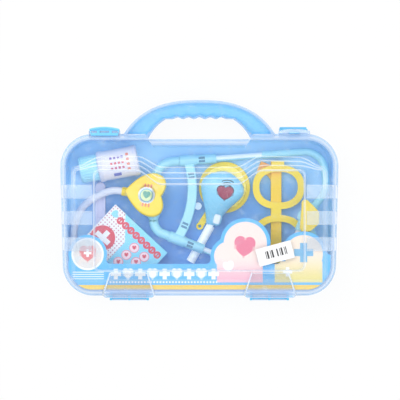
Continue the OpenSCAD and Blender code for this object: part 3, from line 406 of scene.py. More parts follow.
class Form:
    """The parts of one piece, gathered as arrays before they become a mesh."""

    def __init__(self):
        self.points, self.faces, self.count = [], [], 0

    def add(self, points, faces):
        self.points.append(np.asarray(points, float).reshape(-1, 3))
        self.faces += [[v + self.count for v in f] for f in faces]
        self.count += len(self.points[-1])
        return self

    def skin(self, rings):
        """A surface through closed rings of equally many points, with a flat cap at either end."""
        rings = np.asarray(rings, float)
        m, n = rings.shape[:2]
        i, j = np.meshgrid(np.arange(m - 1) * n, np.arange(n), indexing="ij")
        k = (j + 1) % n
        quads = np.stack([i + j, i + k, i + n + k, i + n + j], -1).reshape(-1, 4).tolist()
        return self.add(rings, [*quads, list(range(n - 1, -1, -1)), list(range((m - 1) * n, m * n))])

    def slab(self, outline, low, high, edge, place=None):
        """A plate over a closed outline, its edges rounded by a quarter turn in three steps."""
        p = np.asarray(outline, float)
        if np.cross(p - np.roll(p, 1, 0), np.roll(p, -1, 0) - p).sum() < 0:
            p = p[::-1]
        a, b = unit(p - np.roll(p, 1, 0)), unit(np.roll(p, -1, 0) - p)
        side = np.column_stack([-(a + b)[:, 1], (a + b)[:, 0]])
        side /= np.maximum(0.6, (side * np.column_stack([-b[:, 1], b[:, 0]])).sum(1))[:, None]
        turn = [(edge * (1 - math.cos(t)), edge * (1 - math.sin(t))) for t in np.radians([90, 60, 30, 0])]
        levels = [(inset, low + up) for inset, up in turn] + [(inset, high - up) for inset, up in turn[::-1]]
        rings = np.array([at_height(p + side * inset, z) for inset, z in levels])
        return self.skin(rings if place is None else place(rings))

    def plates(self, section, middles, half):
        """Plates across X at those middles, of a section in (y, z)."""
        for x in middles:
            self.slab(section, x - half, x + half, 0.3, across)

    def tube(self, path, radius, sides=32, edge=0.4):
        """A round bar along a path: circles in the plane across it, turned with it, and rounded ends."""
        path = np.asarray(path, float)
        t = unit(np.gradient(path, axis=0))
        s = unit(np.cross([0, 0, 1.0], t))
        a = np.linspace(0, 2 * math.pi, sides, endpoint=False)[None, :, None]
        rings = path[:, None] + radius * (np.cos(a) * s[:, None] + np.sin(a) * np.cross(t, s)[:, None])
        first, last = (path[i] + (rings[i] - path[i]) * (1 - edge / radius) for i in (0, -1))
        rings[0] += t[0] * edge * 0.6
        rings[-1] -= t[-1] * edge * 0.6
        return self.skin([first, *rings, last])

    def pin(self, x, half, y, z, radius):
        """A round bar along X about the point x, y, z."""
        return self.tube([[x - half, y, z], [x, y, z], [x + half, y, z]], radius)

    def lathe(self, profile, place):
        """A profile of radius and height turned about its axis: radius (cos a, sin a), height."""
        a = np.linspace(0, 2 * math.pi, 64, endpoint=False)
        circle = np.column_stack([np.cos(a), np.sin(a)])
        return self.skin(place(np.array([at_height(radius * circle, height) for radius, height in profile])))

    def mesh(self, name):
        """The mesh in metres, closed and facing outwards."""
        mesh = bpy.data.meshes.new(name)
        mesh.from_pydata((np.concatenate(self.points) * MM).tolist(), [], self.faces)
        return closed(mesh)

    def piece(self, name, look, slot, node=None, sharp=38.0, body="case"):
        return finished(self.mesh(name), name, look, node, sharp, body)


def closed(mesh, flat=0.0):
    """Merges a mesh's doubles, joins faces that bend by less than flat degrees and turns them outwards."""
    work = bmesh.new()
    work.from_mesh(mesh)
    bmesh.ops.remove_doubles(work, verts=work.verts, dist=2e-6)
    if flat:
        bmesh.ops.dissolve_limit(work, angle_limit=math.radians(flat), verts=work.verts, edges=work.edges)
    bmesh.ops.recalc_face_normals(work, faces=work.faces)
    work.to_mesh(mesh)
    work.free()
    return mesh


def put(name, data):
    """A new object in the scene with that data."""
    thing = bpy.data.objects.new(name, data)
    bpy.context.scene.collection.objects.link(thing)
    return thing


def finished(mesh, name, look, node, sharp, body):
    """Gives a closed mesh its finish, shades it by angle and lets it ride on its body in place of node."""
    mesh.polygons.foreach_set("use_smooth", np.ones(len(mesh.polygons), bool))
    mesh.set_sharp_from_angle(angle=math.radians(sharp))
    mesh.materials.clear()
    mesh.materials.append(finish(look))
    mesh.update()
    piece = put(name, mesh)
    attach(piece, body)
    if node:
        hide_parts(node)
    return piece


def recast(node, name, look, edge=0.0, body="case"):
    """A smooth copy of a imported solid: its triangles merged into flat faces, its edges rounded by edge."""
    mesh = closed(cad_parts[node].data.copy(), 0.6)
    piece = finished(mesh, name, look, node, 34.0, body)
    if edge:
        bevel = piece.modifiers.new("Rounded edges", "BEVEL")
        bevel.width, bevel.segments, bevel.limit_method = edge * MM, 2, "ANGLE"
        bevel.angle_limit = math.radians(40)
        bevel.harden_normals = True


def turned(rings, degrees, centre):
    """Rings turned about the vertical through the origin, then moved to centre."""
    c, s = math.cos(math.radians(degrees)), math.sin(math.radians(degrees))
    r = np.asarray(rings, float)
    return np.stack([r[..., 0] * c - r[..., 1] * s, r[..., 0] * s + r[..., 1] * c, r[..., 2]], -1) + centre


def across(rings):
    """Turns a plate drawn in (y, z) and raised along z so that it is raised along x."""
    return np.stack([rings[..., 2], rings[..., 0], rings[..., 1]], -1)


# ---------- finishes ----------

# The headset's curved bar: an arc of that rise between the middles of its two couplers
UPPER_TEE, LOWER_TEE = np.array([-12.8, 60.2]), np.array([-24.5, -27.4])
BAR_RISE = 10.0
BAR_CHORD = float(np.linalg.norm(UPPER_TEE - LOWER_TEE))
BAR_R = (BAR_CHORD ** 2 / 4 + BAR_RISE ** 2) / (2 * BAR_RISE)
BAR_TURN = math.degrees(math.atan2(*(UPPER_TEE - LOWER_TEE)[::-1]))


def on_bar(from_end, lower):
    """A point on the curved bar, that many millimetres along it from one end, and the bar's turn there."""
    half = math.degrees(math.asin(BAR_CHORD / 2 / BAR_R))
    angle = math.degrees(from_end / BAR_R) * (1 if lower else -1) + (0 if lower else 2 * half) - half
    a, t = math.radians(BAR_TURN + angle - 90), math.radians(BAR_TURN)
    middle = LOWER_TEE + (BAR_CHORD / 2 * math.cos(t) - (BAR_R - BAR_RISE) * math.sin(t),
                          BAR_CHORD / 2 * math.sin(t) + (BAR_R - BAR_RISE) * math.cos(t))
    return tuple(middle + BAR_R * np.array([math.cos(a), math.sin(a)])), BAR_TURN + angle - 90


# Snap windows of the headset: middle, turn, the rows across it and the half sizes of each
WINDOWS = [((UPPER_TEE[0] + 15.46, UPPER_TEE[1] + 1.16), 4.3, (-2.1, 1.5), 3.4, 1.2),
           ((LOWER_TEE[0] + 14.47, LOWER_TEE[1] - 5.55), -21, (-2.1, 1.5), 3.4, 1.2)]
WINDOWS += [(*on_bar(17.6, lower), (-1.9, 1.9), 3.3, 1.2) for lower in (True, False)]


def moulded(name, tone, roughness=0.34, grain=0.02, glow=0.0):
    """Moulded plastic: a faint mottle of its colour, fine texture in its gloss and an eggshell surface.
    glow is a painted glow, an even emission that lifts thin white parts out of the shade inside the case; it
    stands in for light that scatters inside their walls."""
    f = Finish(name)
    f.place()
    return f.surface(f.mottle(tone, 40.0, 0.93, 1.05, 0.004), f.wander(roughness, 0.12, 3.0, 4.0),
                     f.noise(0.7, 3.0), grain, IOR=1.46, Emission_Color=(0.75, 0.87, 1.0, 1.0),
                     Emission_Strength=glow)


def tray_finish(c):
    """Light blue outside; inside, a deeper blue of painted shade that pales towards the rim and ends, and a
    faint painted glow all over.
    """
    f = Finish("Tray plastic")
    x, y, z = f.place()
    # Painted shade inside: deep blue in the middle, paler towards the ends and the top where less shade falls
    pale = (abs(x) / 40).between(2.4, 3.6) | y.between(15, 75)
    ends = y.between(84.5, 86.5) | y.between(-85.2, -86.6)
    back, wall, rim = z.between(1.6, 1.0), f.outward(x, y).between(8, 30), z.between(16.0, 29.0)
    tone = f.paint(f.mottle(c.tray_inside_shade, 60.0, 0.92, 1.0), (pale, rgb(0.62, 0.84, 0.98)),
                   (ends | back | wall | rim, c.tray))
    # The faint blue emission over the whole tray is a painted glow that lifts its shaded inside
    return f.surface(tone, f.wander(0.36, 0.1, 4.0, 4.0), f.noise(0.8, 3.0), 0.02,
                     Emission_Color=(0.35, 0.60, 1.0, 1.0), Emission_Strength=0.1)


def clear_finish(c):
    """Clear plastic: nearly unseen face on, paler where it is seen at a slant and on its edges, and milky
    on its ribs, on the rims of its feet, on its lugs and along its flange. Mottled whitish patches are a
    painted sheen, and a faint blue emission is a painted glow."""
    f = Finish("Clear plastic")
    x, y, z = f.place()
    level = f.level()
    face = z.between(57.3, 57.6)
    slope = face * level.between(0.995, 0.93) + (1 - face) * level.between(0.90, 0.55)
    haze = f.noise(30.0, 3.0)
    # marks: mottled whitish patches in the alpha, a painted sheen standing for soft reflections on the lid
    marks = f.noise(11.0, 5.0, 0.6).between(0.52, 0.72)
    ribs = (abs(x) - PANEL_HALF_W).between(0.6, 1.4) * abs(y - RIB_YS[1]).fold(RIB_PITCH).between(8.0, 7.2) \
        * y.between(-41, -40) * y.between(35, 34)
    foot = abs(abs(x) - HINGE_X) + (y - FOOT_TOP) * 0.31
    below = y.between(-62.2, -63.0)
    feet, rims = foot.between(20.6, 20.0) * below, abs(foot - 20.0).between(1.0, 0.4) * below
    lugs = y.between(89.2, 89.8) * abs(x).between(84.5, 86.0)
    handle = y.between(89.5, 91.5) * abs(x).between(86.0, 84.5)
    outer = f.outward(x, y - 84).between(-5, 5)
    grip_rim = level.between(0.93, 0.45) * outer + level.between(0.7, 0.2) * (1 - outer) * 0.6
    aside = (abs(x).between(116.8, 118.0) | y.between(-63.2, -64.4)) * z.between(57.4, 57.6) \
        * y.between(32, 26)
    edge = slope * (1 - 0.6 * aside) * (1 - handle) + handle * grip_rim
    flange = (31.95 - z).between(0.0, 0.3)
    milk = ribs * 0.11 + feet * 0.005 + rims * 0.3 + lugs * 0.32 + handle * 0.05 + flange * 0.4
    alpha = 0.02 + 0.02 * haze + 0.07 * marks + milk + 0.42 * edge + 0.7 * f.facing(0.42) ** 3.5
    pale = f.mix(face, rgb(0.83, 0.90, 0.99), (0.93, 0.97, 1.0))
    # The faint blue emission is a painted glow that brightens the clear walls
    return f.surface(f.mix(edge, c.clear, pale), 0.07 + 0.05 * haze, f.noise(18.0), 0.05, Alpha=alpha,
                     IOR=1.46, Emission_Color=(0.62, 0.80, 1.0, 1.0), Emission_Strength=0.1)


def headset_finish(c):
    """Light blue headset, with painted shade darker down in the snap windows of its couplers and curved bar.
    """
    f = Finish("Headset plastic")
    x, y, _ = f.place()
    windows = 0
    for centre, turn, rows, half_x, half_y in WINDOWS:
        u, v = local(x, y, centre, turn)
        for row in rows:
            windows = block(u, v - row, half_x, half_y, 0.2) | windows
    # The dark teal in the windows is painted shade in their recesses
    tone = f.paint(f.mottle(c.toy_blue, 40.0, 0.95, 1.04), (windows, rgb(0.30, 0.55, 0.70)))
    return f.surface(tone, f.wander(0.33, 0.12, 3.0, 4.0), f.noise(0.7, 3.0), 0.02)


def card_finish(c):
    """Printed card: blue ground, a yellow stripe, a white ring and two pale panels, each with a heart or a
    plus sign, and a row of plain signs over dots. Its flap, in shade under the card, is painted paler and
    given a painted glow."""
    f = Finish("Printed card")
    x, y, z = f.place()
    white = (0.93, 0.95, 0.98)
    rosy = disc(x - 50, y + 31, 23.5) | disc(x - 32, y + 45, 16.0) | block(x - 44, y + 62, 25, 11.5)
    cream = disc(x - 113.5, y + 43, 21.0) | block(x - 108, y + 62, 26, 11.5)
    ring_x, ring_y = x + 121.7, y + 42.7
    signs = cross((x + 91.0).fold(26.6), y + 64.4, 5.8, 2.2) \
        | heart((x + 77.7).fold(26.6), y + 64.6, 5.9, 0.15)
    dots = disc((x + 98.5).fold(3.4) - 1.7, y + 73.2, 1.0)
    lines = (y + 60.0).fold(2.4).between(0.75, 0.35) * block(x + 121, y + 65.8, 17, 4.2)
    face, flap = (z - 53).between(0, 0.6), (z - 53).between(0.3, 0.0)
    tone = f.paint(
        f.mottle(c.card, 70.0, 0.92, 1.08),
        (rosy, f.mix((y + 60).between(-14, 16), rgb(0.95, 0.72, 0.80), rgb(0.98, 0.90, 0.88))),
        (heart(*local(x, y, (49.0, -36.0), -6), 11.5), rgb(0.90, 0.48, 0.60)),
        (heart(*local(x, y, (32.0, -57.0), 12), 6.0), white),
        (cream, f.mix((y + 60).between(-14, 20), rgb(0.90, 0.86, 0.55), rgb(0.98, 0.91, 0.84))),
        (cross(x - 113.5, y + 41, 10.5, 3.9), rgb(0.46, 0.72, 0.88)),
        (cross(x - 96.0, y + 62, 5.0, 1.9), white),
        (disc(ring_x, ring_y, 17.6), white),
        (disc(ring_x, ring_y, 15.6), f.mix(f.noise(9.0), rgb(0.78, 0.88, 0.93), rgb(0.97, 0.86, 0.80))),
        (heart(ring_x, ring_y + 0.5, 9.0), rgb(0.88, 0.50, 0.52)),
        (cross(ring_x, ring_y - 1.2, 4.2, 1.4), white),
        (block(x + 38.5, y + 64.4, 60.0, 8.0) * signs, white),
        (block(x + 38.5, y + 73.2, 60.0, 1.6) * dots, white),
        (lines * 0.75, white),
        ((y + 76.2).between(0.3, -0.3) * face, c.card_stripe),
        # The flap's paler colour is painted light that lifts it out of the shade under the card
        (flap, rgb(0.80, 0.90, 0.98)))
    # The emission on the flap alone is a painted glow
    return f.surface(tone, f.wander(0.42, 0.08, 6.0), f.noise(0.5, 3.0), 0.015, Emission_Strength=0.2,
                     Emission_Color=f.mix(flap, (0.0, 0.0, 0.0), (0.35, 0.60, 1.0)))


def carton_finish(c):
    """Folded carton: dotted white end, cyan body, a red disc with a white cross, and round tablets."""
    f = Finish("Printed carton")
    x, y, _ = f.place()
    u, v = local(x, y, (-92.63, 11.38), -43)
    white, tablets = (0.90, 0.92, 0.96), []
    body = (u + 0.9 * (v + 52) - 62).between(-0.3, 0.3) | (u - 36).between(-0.3, 0.3)
    band, sign = block(u - 44, v + 9.5, 31.5, 4.4), (u - 12.5).fold(7.9) - 3.95
    for at_u, at_v in ((47.9, -20.9), (62.7, -20.6), (46.8, -32.5), (60.0, -31.0), (45.6, -44.2),
                       (59.0, -42.6)):
        du, dv = u - at_u, v - at_v
        tablets += [(disc(du, dv, 5.5), rgb(0.93, 0.55, 0.64)), (disc(du, dv, 4.7), rgb(0.99, 0.88, 0.92)),
                    (heart(*local(du, dv, (0, 0), 43), 2.3, 0.2), c.print_red)]
    tone = f.paint(
        f.mix(disc(u.fold(3.4) - 1.7, v.fold(3.4) - 1.7, 0.8, 0.25), white, rgb(0.80, 0.55, 0.66)),
        (body, f.mottle(c.print_cyan, 30.0, 0.94, 1.06)),
        (heart(*local(u, v, (6.3, -8.6), -45), 4.2), c.print_cyan),
        (disc(u - 14.9, v + 36.6, 13.9), c.print_red),
        (cross(u - 14.9, v + 36.6, 9.4, 2.8), white),
        (band * (ring(sign, v + 9.5, 3.0, 1.15) | block(sign, v + 9.5, 0.9, 4.2)), c.print_red),
        *tablets)
    return f.surface(tone, f.wander(0.38, 0.08, 5.0), f.noise(0.6, 3.0), 0.02)


def jar_finish(c):
    """White jar with rows of short coloured marks on the side that faces the lid."""
    f = Finish("White jar")
    x, y, z = f.place()
    u, v = local(x, y, (-89.8, 56.6), 10.5)
    top = (z - 22).between(0, 3)
    dashes = abs((u + 9).fold(4.2) - 2.1).between(1.5, 1.0)
    column = abs(v.fold(5.4) - 2.7).between(1.7, 1.2) * block(u - 11.5, v - 1, 1.6, 10)
    rows = [(dashes * block(u + 1, v - row, 8.5, 1.3) * top, ink) for row, ink in (
        (6.5, rgb(0.50, 0.42, 0.75)), (0.4, rgb(0.85, 0.38, 0.45)), (-5.0, rgb(0.78, 0.36, 0.52)))]
    tone = f.paint(
        f.mix(f.noise(30.0), rgb(0.84, 0.86, 0.95), rgb(0.90, 0.91, 0.98)),
        (block(u, v, 17.5, 15.5) * top, rgb(0.93, 0.93, 0.985)), *rows,
        (column * top, rgb(0.92, 0.55, 0.48)),
        (block(u + 2, v + 12, 4.2, 1.6) * top, rgb(0.42, 0.45, 0.80)))
    return f.surface(tone, f.wander(0.34, 0.08, 5.0), f.noise(0.8, 3.0), 0.02)


def heart_finish(c):
    """Yellow chest piece, with a white and blue ring and small red marks in its round recess."""
    f = Finish("Chest piece")
    x, y, z = f.place()
    u, v = local(x, y, (-58.3, 21.4), -8)
    top = (z - 18).between(0, 1)
    dashes = abs((u + 4.5).fold(3.4) - 1.7).between(1.3, 0.8) * top
    tone = f.paint(
        f.mottle(c.toy_yellow, 30.0, 0.94, 1.05),
        (disc(u, v, 8.6) * top, rgb(0.86, 0.93, 0.72)),
        (ring(u, v, 8.4, 0.9) * top, rgb(0.93, 0.96, 0.99)),
        (ring(u, v, 6.9, 0.5) * top, rgb(0.40, 0.70, 0.85)),
        (heart(u, v, 4.2) * top, rgb(0.36, 0.66, 0.60)),
        *((dashes * block(u, v - row, 5.6, 1.9), rgb(0.92, 0.52, 0.40)) for row in (-10.7, 10.7)))
    return f.surface(tone, f.wander(0.3, 0.1, 4.0), f.noise(0.8, 3.0), 0.02)


def egg_finish(c):
    """Pulse meter: light blue with a dark red heart, its darker outline and three arcs over it."""
    f = Finish("Pulse meter")
    x, y, z = f.place()
    u, v = local(x, y, (28.2, 23.4), -6)
    top, high = (z - 22).between(0, 3), (v + 0.6) * 1.16
    arcs = [(ring(u - 1.8, v - 2.6, radius, 0.55, 0.25) * abs(u - 1.8).between(4.9 + i, 4.1 + i)
             * v.between(7, 8.5) * top, rgb(0.16, 0.28, 0.36)) for i, radius in enumerate((7.0, 9.6, 12.2))]
    tone = f.paint(
        f.mottle(np.array(c.toy_blue) * (0.74, 0.89, 0.98), 40.0, 0.95, 1.04),
        (heart(u, high, 9.7) * top, rgb(0.30, 0.12, 0.26)),
        (heart(u, high, 8.5) * top, f.mix(f.noise(2.5), rgb(0.56, 0.13, 0.26), rgb(0.68, 0.26, 0.40))),
        *arcs)
    return f.surface(tone, f.wander(0.28, 0.1, 4.0), f.noise(0.8, 3.0), 0.02)


def temple_finish(c):
    """Yellow of the folded temples, darkened all over and to orange towards the upper hinge as painted shade.
    """
    f = Finish("Temple plastic")
    _, y, _ = f.place()
    # A darker copy of the toy yellow as painted shade, and orange towards the upper hinge as deeper painted
    # shade
    tone = f.paint(f.mottle(np.array(c.toy_yellow) * (1.0, 0.9, 0.7), 30.0, 0.93, 1.05),
                   (y.between(38, 56), rgb(0.99, 0.66, 0.22)))
    return f.surface(tone, f.wander(0.32, 0.1, 4.0), f.noise(0.8, 3.0), 0.02)


def label_finish(c):
    """Blank paper label with a row of even grey bars."""
    f = Finish("Paper label")
    x, y, _ = f.place()
    u, v = local(x, y, LABEL_AT, LABEL_TURN)
    bars = abs(u.fold(5.2) - 2.6).between(1.0, 0.7) | abs((u - 1.9).fold(2.6) - 1.3).between(0.5, 0.25)
    field = block(u - 0.5, v - 0.4, 12.6, 4.2, 0.15) * abs(u - 1.2).between(0.7, 1.0)
    tone = f.paint(f.mix(f.noise(1.5), (0.86, 0.87, 0.89), (0.95, 0.96, 0.97)),
                   (bars * field, (0.03, 0.03, 0.035)))
    return f.surface(tone, f.wander(0.65, 0.1, 2.0), f.noise(0.3, 3.0), 0.01)


def foil_finish(c):
    """Mirror foil: a polished face with faint clouds in its gloss, yellower towards its rim."""
    f = Finish("Mirror foil")
    x, y, _ = f.place()
    tone = f.mix(far(x - 27.8, y - 30.2).between(21, 9), rgb(0.95, 0.89, 0.45), rgb(0.72, 0.84, 0.93))
    return f.surface(tone, f.wander(0.22, 0.12, 5.0), f.noise(3.0), 0.01, Metallic=0.35)


# ---------- finishes, made once and shared ----------

SPECIAL = {"tray": tray_finish, "clear": clear_finish, "headset": headset_finish, "temple": temple_finish,
           "card": card_finish, "carton": carton_finish, "jar": jar_finish, "heart": heart_finish,
           "egg": egg_finish, "label": label_finish, "foil": foil_finish}
made = {}


def finish(name):
    """The material of that name, made when it is first asked for."""
    c = bpy.context.scene.toy_case_colours
    plain = {
        "latch": ("Latch plastic", c.latch, 0.32),
        "blue": ("Light blue plastic", c.toy_blue),
        "yellow": ("Yellow plastic", c.toy_yellow),
        # The last number of the white and grip finishes is a painted glow, an emission that lifts them out of
        # the case's shade
        "white": ("White plastic", c.toy_white, 0.3, 0.02, 0.14),
        "grip": ("White grip", rgb(0.95, 0.98, 1.0), 0.3, 0.02, 0.22),
        "tube": ("Soft tube", rgb(0.86, 0.89, 0.97), 0.46, 0.03),
        "violet": ("Pale violet plastic", rgb(0.80, 0.82, 0.95)),
    }
    if name not in made:
        made[name] = moulded(*plain[name]) if name in plain else SPECIAL[name](c)
    return made[name]


# ---------- the case's own forms ----------


def wall_x(y):
    """The flange's half width at a height y on its leaning side."""
    upper, lower = HALF_H - TOP_CORNER, LOW_CORNER - HALF_H
    return HALF_W - TAPER * (upper - y) / (upper - lower)


def rib_profile(depth, x_in, top):
    """Section of a side rib in (x, z), measured out from the flange's edge: up the drafted wall 1 mm
    proud, round the edge and along the face, which it clears by top."""
    straight, thick = depth - FACE_EDGE, 0.9
    way = [(1 - FLANGE_W - DRAFT * h / straight, h) for h in (2.2, straight)]
    way += [(1 - FLANGE_W - DRAFT - FACE_EDGE * (1 - math.cos(a)), straight + FACE_EDGE * math.sin(a))
            for a in np.radians((20, 40, 60, 80, 90))]
    outer = [(x, z + (top if z > depth - 1 else top * z / depth)) for x, z in way]
    inner = [(x - 1.6, z - thick) for x, z in way[-2::-1]]
    return [*outer, (x_in, depth + top), (x_in, depth - thick), *inner]


def add_ribs(form, way, z_face, top):
    """Three ribs a side, stood on the leaning wall."""
    for y in RIB_YS:
        edge = wall_x(y)
        points = rib_profile(way * (z_face - PARTING), PANEL_HALF_W + 1 - edge, top)
        for side in (-1, 1):
            form.slab(points, -RIB_HALF, RIB_HALF, 0.5, lambda r: np.stack(
                [side * (edge + r[..., 0]), y + r[..., 2], PARTING + way * r[..., 1]], -1))


def handle_rings(way):
    """A half handle: at each station a channel between an outer superellipse and an inner edge of two
    parabolas and a row of finger recesses. Height over the channel is (1 - |2u - 1| cubed) to the 1/3."""
    s = np.linspace(0, 1, 161)
    rise = HANDLE_TOP - HANDLE_BASE
    start = math.asin(((84 - HANDLE_BASE) / rise) ** 1.25)
    a = start + (math.pi - 2 * start) * s
    outer = np.column_stack([HANDLE_HALF_W * np.sign(np.cos(a)) * np.abs(np.cos(a)) ** 0.8,
                             HANDLE_BASE + rise * np.sin(a) ** 0.8])
    grip_top, corner = GRIP_LOW + GRIP_H, 0.2
    p, q, r = np.array([[57, 82.0], [49.7, GRIP_LOW + 0.64 * GRIP_H], [GRIP_TOP_HALF_W, grip_top]])
    t = np.clip(np.minimum(s, 1 - s) / corner, 0, 1)[:, None]
    side = (1 - t) ** 2 * p + 2 * t * (1 - t) * q + t * t * r
    side[:, 0] *= np.sign(0.5 - s)
    x = GRIP_TOP_HALF_W * (1 - 2 * (s - corner) / (1 - 2 * corner))
    dip = FINGER_DIP * np.cos(math.pi * x / FINGER_PITCH) ** 2
    top = np.column_stack([x, grip_top + np.where(np.abs(x) < FINGERS * FINGER_PITCH / 2, dip, 0)])
    inner = np.where((np.abs(s - 0.5) <= 0.5 - corner + 1e-9)[:, None], top, side)
    u = (1 - np.cos(np.linspace(0, math.pi, 24))) / 2
    height = (1 - np.abs(2 * u - 1) ** 3) ** (1 / 3)
    thin = (WALL / np.linalg.norm(outer - inner, axis=1))[:, None]
    over = outer[:, None] + (inner - outer)[:, None] * u[None, :, None]
    under = outer[:, None] + (inner - outer)[:, None] * (thin + (1 - 2 * thin) * u[None, ::-1])[..., None]
    z_over = np.broadcast_to(PARTING + way * (SEAM + HANDLE_T * height), over.shape[:2])
    z_under = np.broadcast_to(PARTING + way * (SEAM + (HANDLE_T - WALL) * height[::-1]), under.shape[:2])
    return np.concatenate([np.dstack([over, z_over]), np.dstack([under, z_under])], axis=1)


def add_foot(form, side, section):
    """A foot over a hinge: its section in (y, z) carried along X, wider towards the floor side and drawn
    in again over its last millimetres."""
    def stand(rings):
        down = -rings[..., 0]
        half = np.interp(down, (-FOOT_TOP, 86.0), (FOOT_NARROW, FOOT_WIDE))
        half -= 3.5 * np.clip(down - 87, 0, 9) / 3.4
        stood = across(rings)
        stood[..., 0] *= half / FOOT_WIDE
        return stood + (side * HINGE_X, 0, 0)

    form.slab(rounded(section, 1.2, 5), -FOOT_WIDE, FOOT_WIDE, 0.9, stand)


def flange_rings(way, inset=0.0):
    """The lip at the parting plane, drawn in by inset, with its outer edges rounded by 0.5 mm."""
    z = PARTING + way * SEAM
    return [at_height(case_outline(inset + at), z + way * high) for at, high in (
        (FLANGE_W - 0.1 - inset, FLANGE_T), (0.5, FLANGE_T), (0.15, FLANGE_T - 0.15), (0.0, FLANGE_T - 0.5),
        (0.0, 0.3), (0.3, 0.0))]


def to_centre(ring):
    """An outline drawn in until it nearly closes, for the middle of a flat face."""
    flat = ring.copy()
    flat[:, :2] = RING_CENTRE + (ring[:, :2] - RING_CENTRE) * 0.06
    return flat


def lid_form():
    """Clear lid: terraces, rounded edge, drafted wall and flange outside; the same less its wall inside."""
    slope = bpy.context.scene.toy_case_sizes.step_slope / MM
    outside, below = [], 0.12
    for i in range(STEPS, 0, -1):
        high, low = LID_FACE + i * STEP_H - below, LID_FACE + (i - 1) * STEP_H - below * (i > 1)
        for way_down in (0.5 - 0.5 * np.cos(np.linspace(0, math.pi, 6))):
            outside.append(at_height(terrace(i, slope * (1 - way_down)), high - (high - low) * way_down))
    outside = [to_centre(outside[0])] + outside
    outside += tub_rings(LID_FACE - PARTING, 0, FACE_EDGE, 1, SEAM + FLANGE_T)[::-1] + flange_rings(1)
    inside = tub_rings(LID_FACE - PARTING - WALL, WALL, FACE_EDGE - WALL, 1, SEAM)
    inside += [at_height(terrace(STEPS, WALL - 0.8), LID_FACE - WALL),
               at_height(terrace(STEPS, WALL + 0.6), LID_FACE - WALL + 2.2)]
    inside.append(to_centre(inside[-1]))
    form = Form().skin(notch(np.array(outside + inside))).skin(handle_rings(1))
    add_ribs(form, 1, LID_FACE, 1.2)
    foot_face, u = LID_FACE + 1.8, np.linspace(1, -1, 21)
    dome = np.column_stack([LUG_HALF * u, HALF_H + 5 - 2.2 * u * u])
    lug = np.concatenate([dome, [[-LUG_HALF, 85.5], [LUG_HALF, 85.5]]])
    knuckle = (EAR_PITCH - 2 * EAR_HALF - 0.8) / 2
    web = [[HINGE_Y, 30.1], [-86.0, 30.1], [-85.0, 37.0], [FOOT_OUT, 37.0], [HINGE_Y + 0.2, 32.8]]
    for side in (-1, 1):
        add_foot(form, side, [
            [FOOT_TOP, 57.0], [FOOT_TOP, foot_face], [-76, foot_face], [-87, foot_face], [FOOT_OUT, 56.5],
            [FOOT_OUT, 36.0], [-86.2, 36.0], [-84.0, 52.0], [-79.0, 57.0]])
        form.slab(lug + (side * LATCH_X, 0), 30.1, 41.5, 0.9)
        middles = [side * HINGE_X + way * EAR_PITCH / 2 for way in (-1, 1)]
        form.plates(web, middles, knuckle)
        for x in middles:
            form.pin(x, knuckle, HINGE_Y, PARTING, KNUCKLE_R)
    return form


def tray_form():
    """Blue tray: flat back, rounded edge, drafted wall and flange outside; the same less its wall inside."""
    outside = tub_rings(PARTING, 0, FACE_EDGE, -1, SEAM + FLANGE_T)[::-1]
    outside = [to_centre(outside[0])] + outside + flange_rings(-1, 0.45)
    inside = tub_rings(PARTING - WALL, WALL, FACE_EDGE - WALL, -1, SEAM)
    inside.append(to_centre(inside[-1]))
    form = Form().skin(notch(np.array(outside + inside))).skin(handle_rings(-1))
    add_ribs(form, -1, 0.0, 0.0)
    ear = np.concatenate([arc((HINGE_Y, PARTING), KNUCKLE_R, 90, 250, 12),
                          [[-86.0, 25.3], [-86.0, 29.8], [HINGE_Y + PIN_R, 32.2]]])
    hook = np.concatenate([arc((LATCH_Y, LATCH_Z), 2.4, -90, 90, 10), [[86.0, 26.4], [86.0, 22.1]]])
    tongue = [[87.0, 27.8], [90.8, 27.8], [90.8, 38.6], [89.2, 38.6], [89.2, 29.8], [87.0, 29.8]]
    for side in (-1, 1):
        hinge, latch = side * HINGE_X, side * LATCH_X
        add_foot(form, side, [[-82.0, 4.0], [-87.0, 4.0], [FOOT_OUT, 7.0], [FOOT_OUT, 28.0], [-86.0, 28.0],
                              [-85.0, 9.0]])
        form.plates(ear, [hinge + way * EAR_PITCH for way in (-1, 0, 1)], EAR_HALF)
        form.pin(hinge, EAR_PITCH, HINGE_Y, PARTING, PIN_R)
        form.plates(hook, [latch + way * LATCH_EARS for way in (-1, 1)], EAR_HALF)
        form.pin(latch, LATCH_EARS, LATCH_Y, LATCH_Z, LATCH_PIN_R)
        form.plates(tongue, [latch], 5.8)
    return form


# ---------- the toys' own forms ----------

TUBE_ROUTE = (
    (-82, 25.4, 17.7), (-86, 26, 17.5), (-91, 26.6, 17.2), (-98, 26.3, 16.8), (-108.5, 22.6, 15.8),
    (-119.5, 16.8, 14.6), (-129.5, 7.8, 11.6), (-136, -3.6, 8.8), (-139.2, -17, 6.9), (-139.2, -30, 6.1),
    (-136, -44, 6.1), (-129, -57, 6.1), (-118, -67, 6.1), (-104, -73, 6.1), (-88, -75, 6.1), (-70, -75, 6.1),
    (-50, -75, 6.1), (-30, -75, 6.1), (-10, -75, 6.1), (10, -75, 6.1), (30, -75, 6.1), (50, -75, 6.1),
    (70, -75, 6.1), (88, -74.5, 6.1), (100, -71, 6.8), (107.5, -63, 9), (109.5, -53, 12.6),
    (108.4, -44, 16.2), (107.2, -34.5, 18.6), (107.6, -25.6, 20.1), (109.9, -19.5, 19.7),
    (112.4, -13.4, 19.2),
)


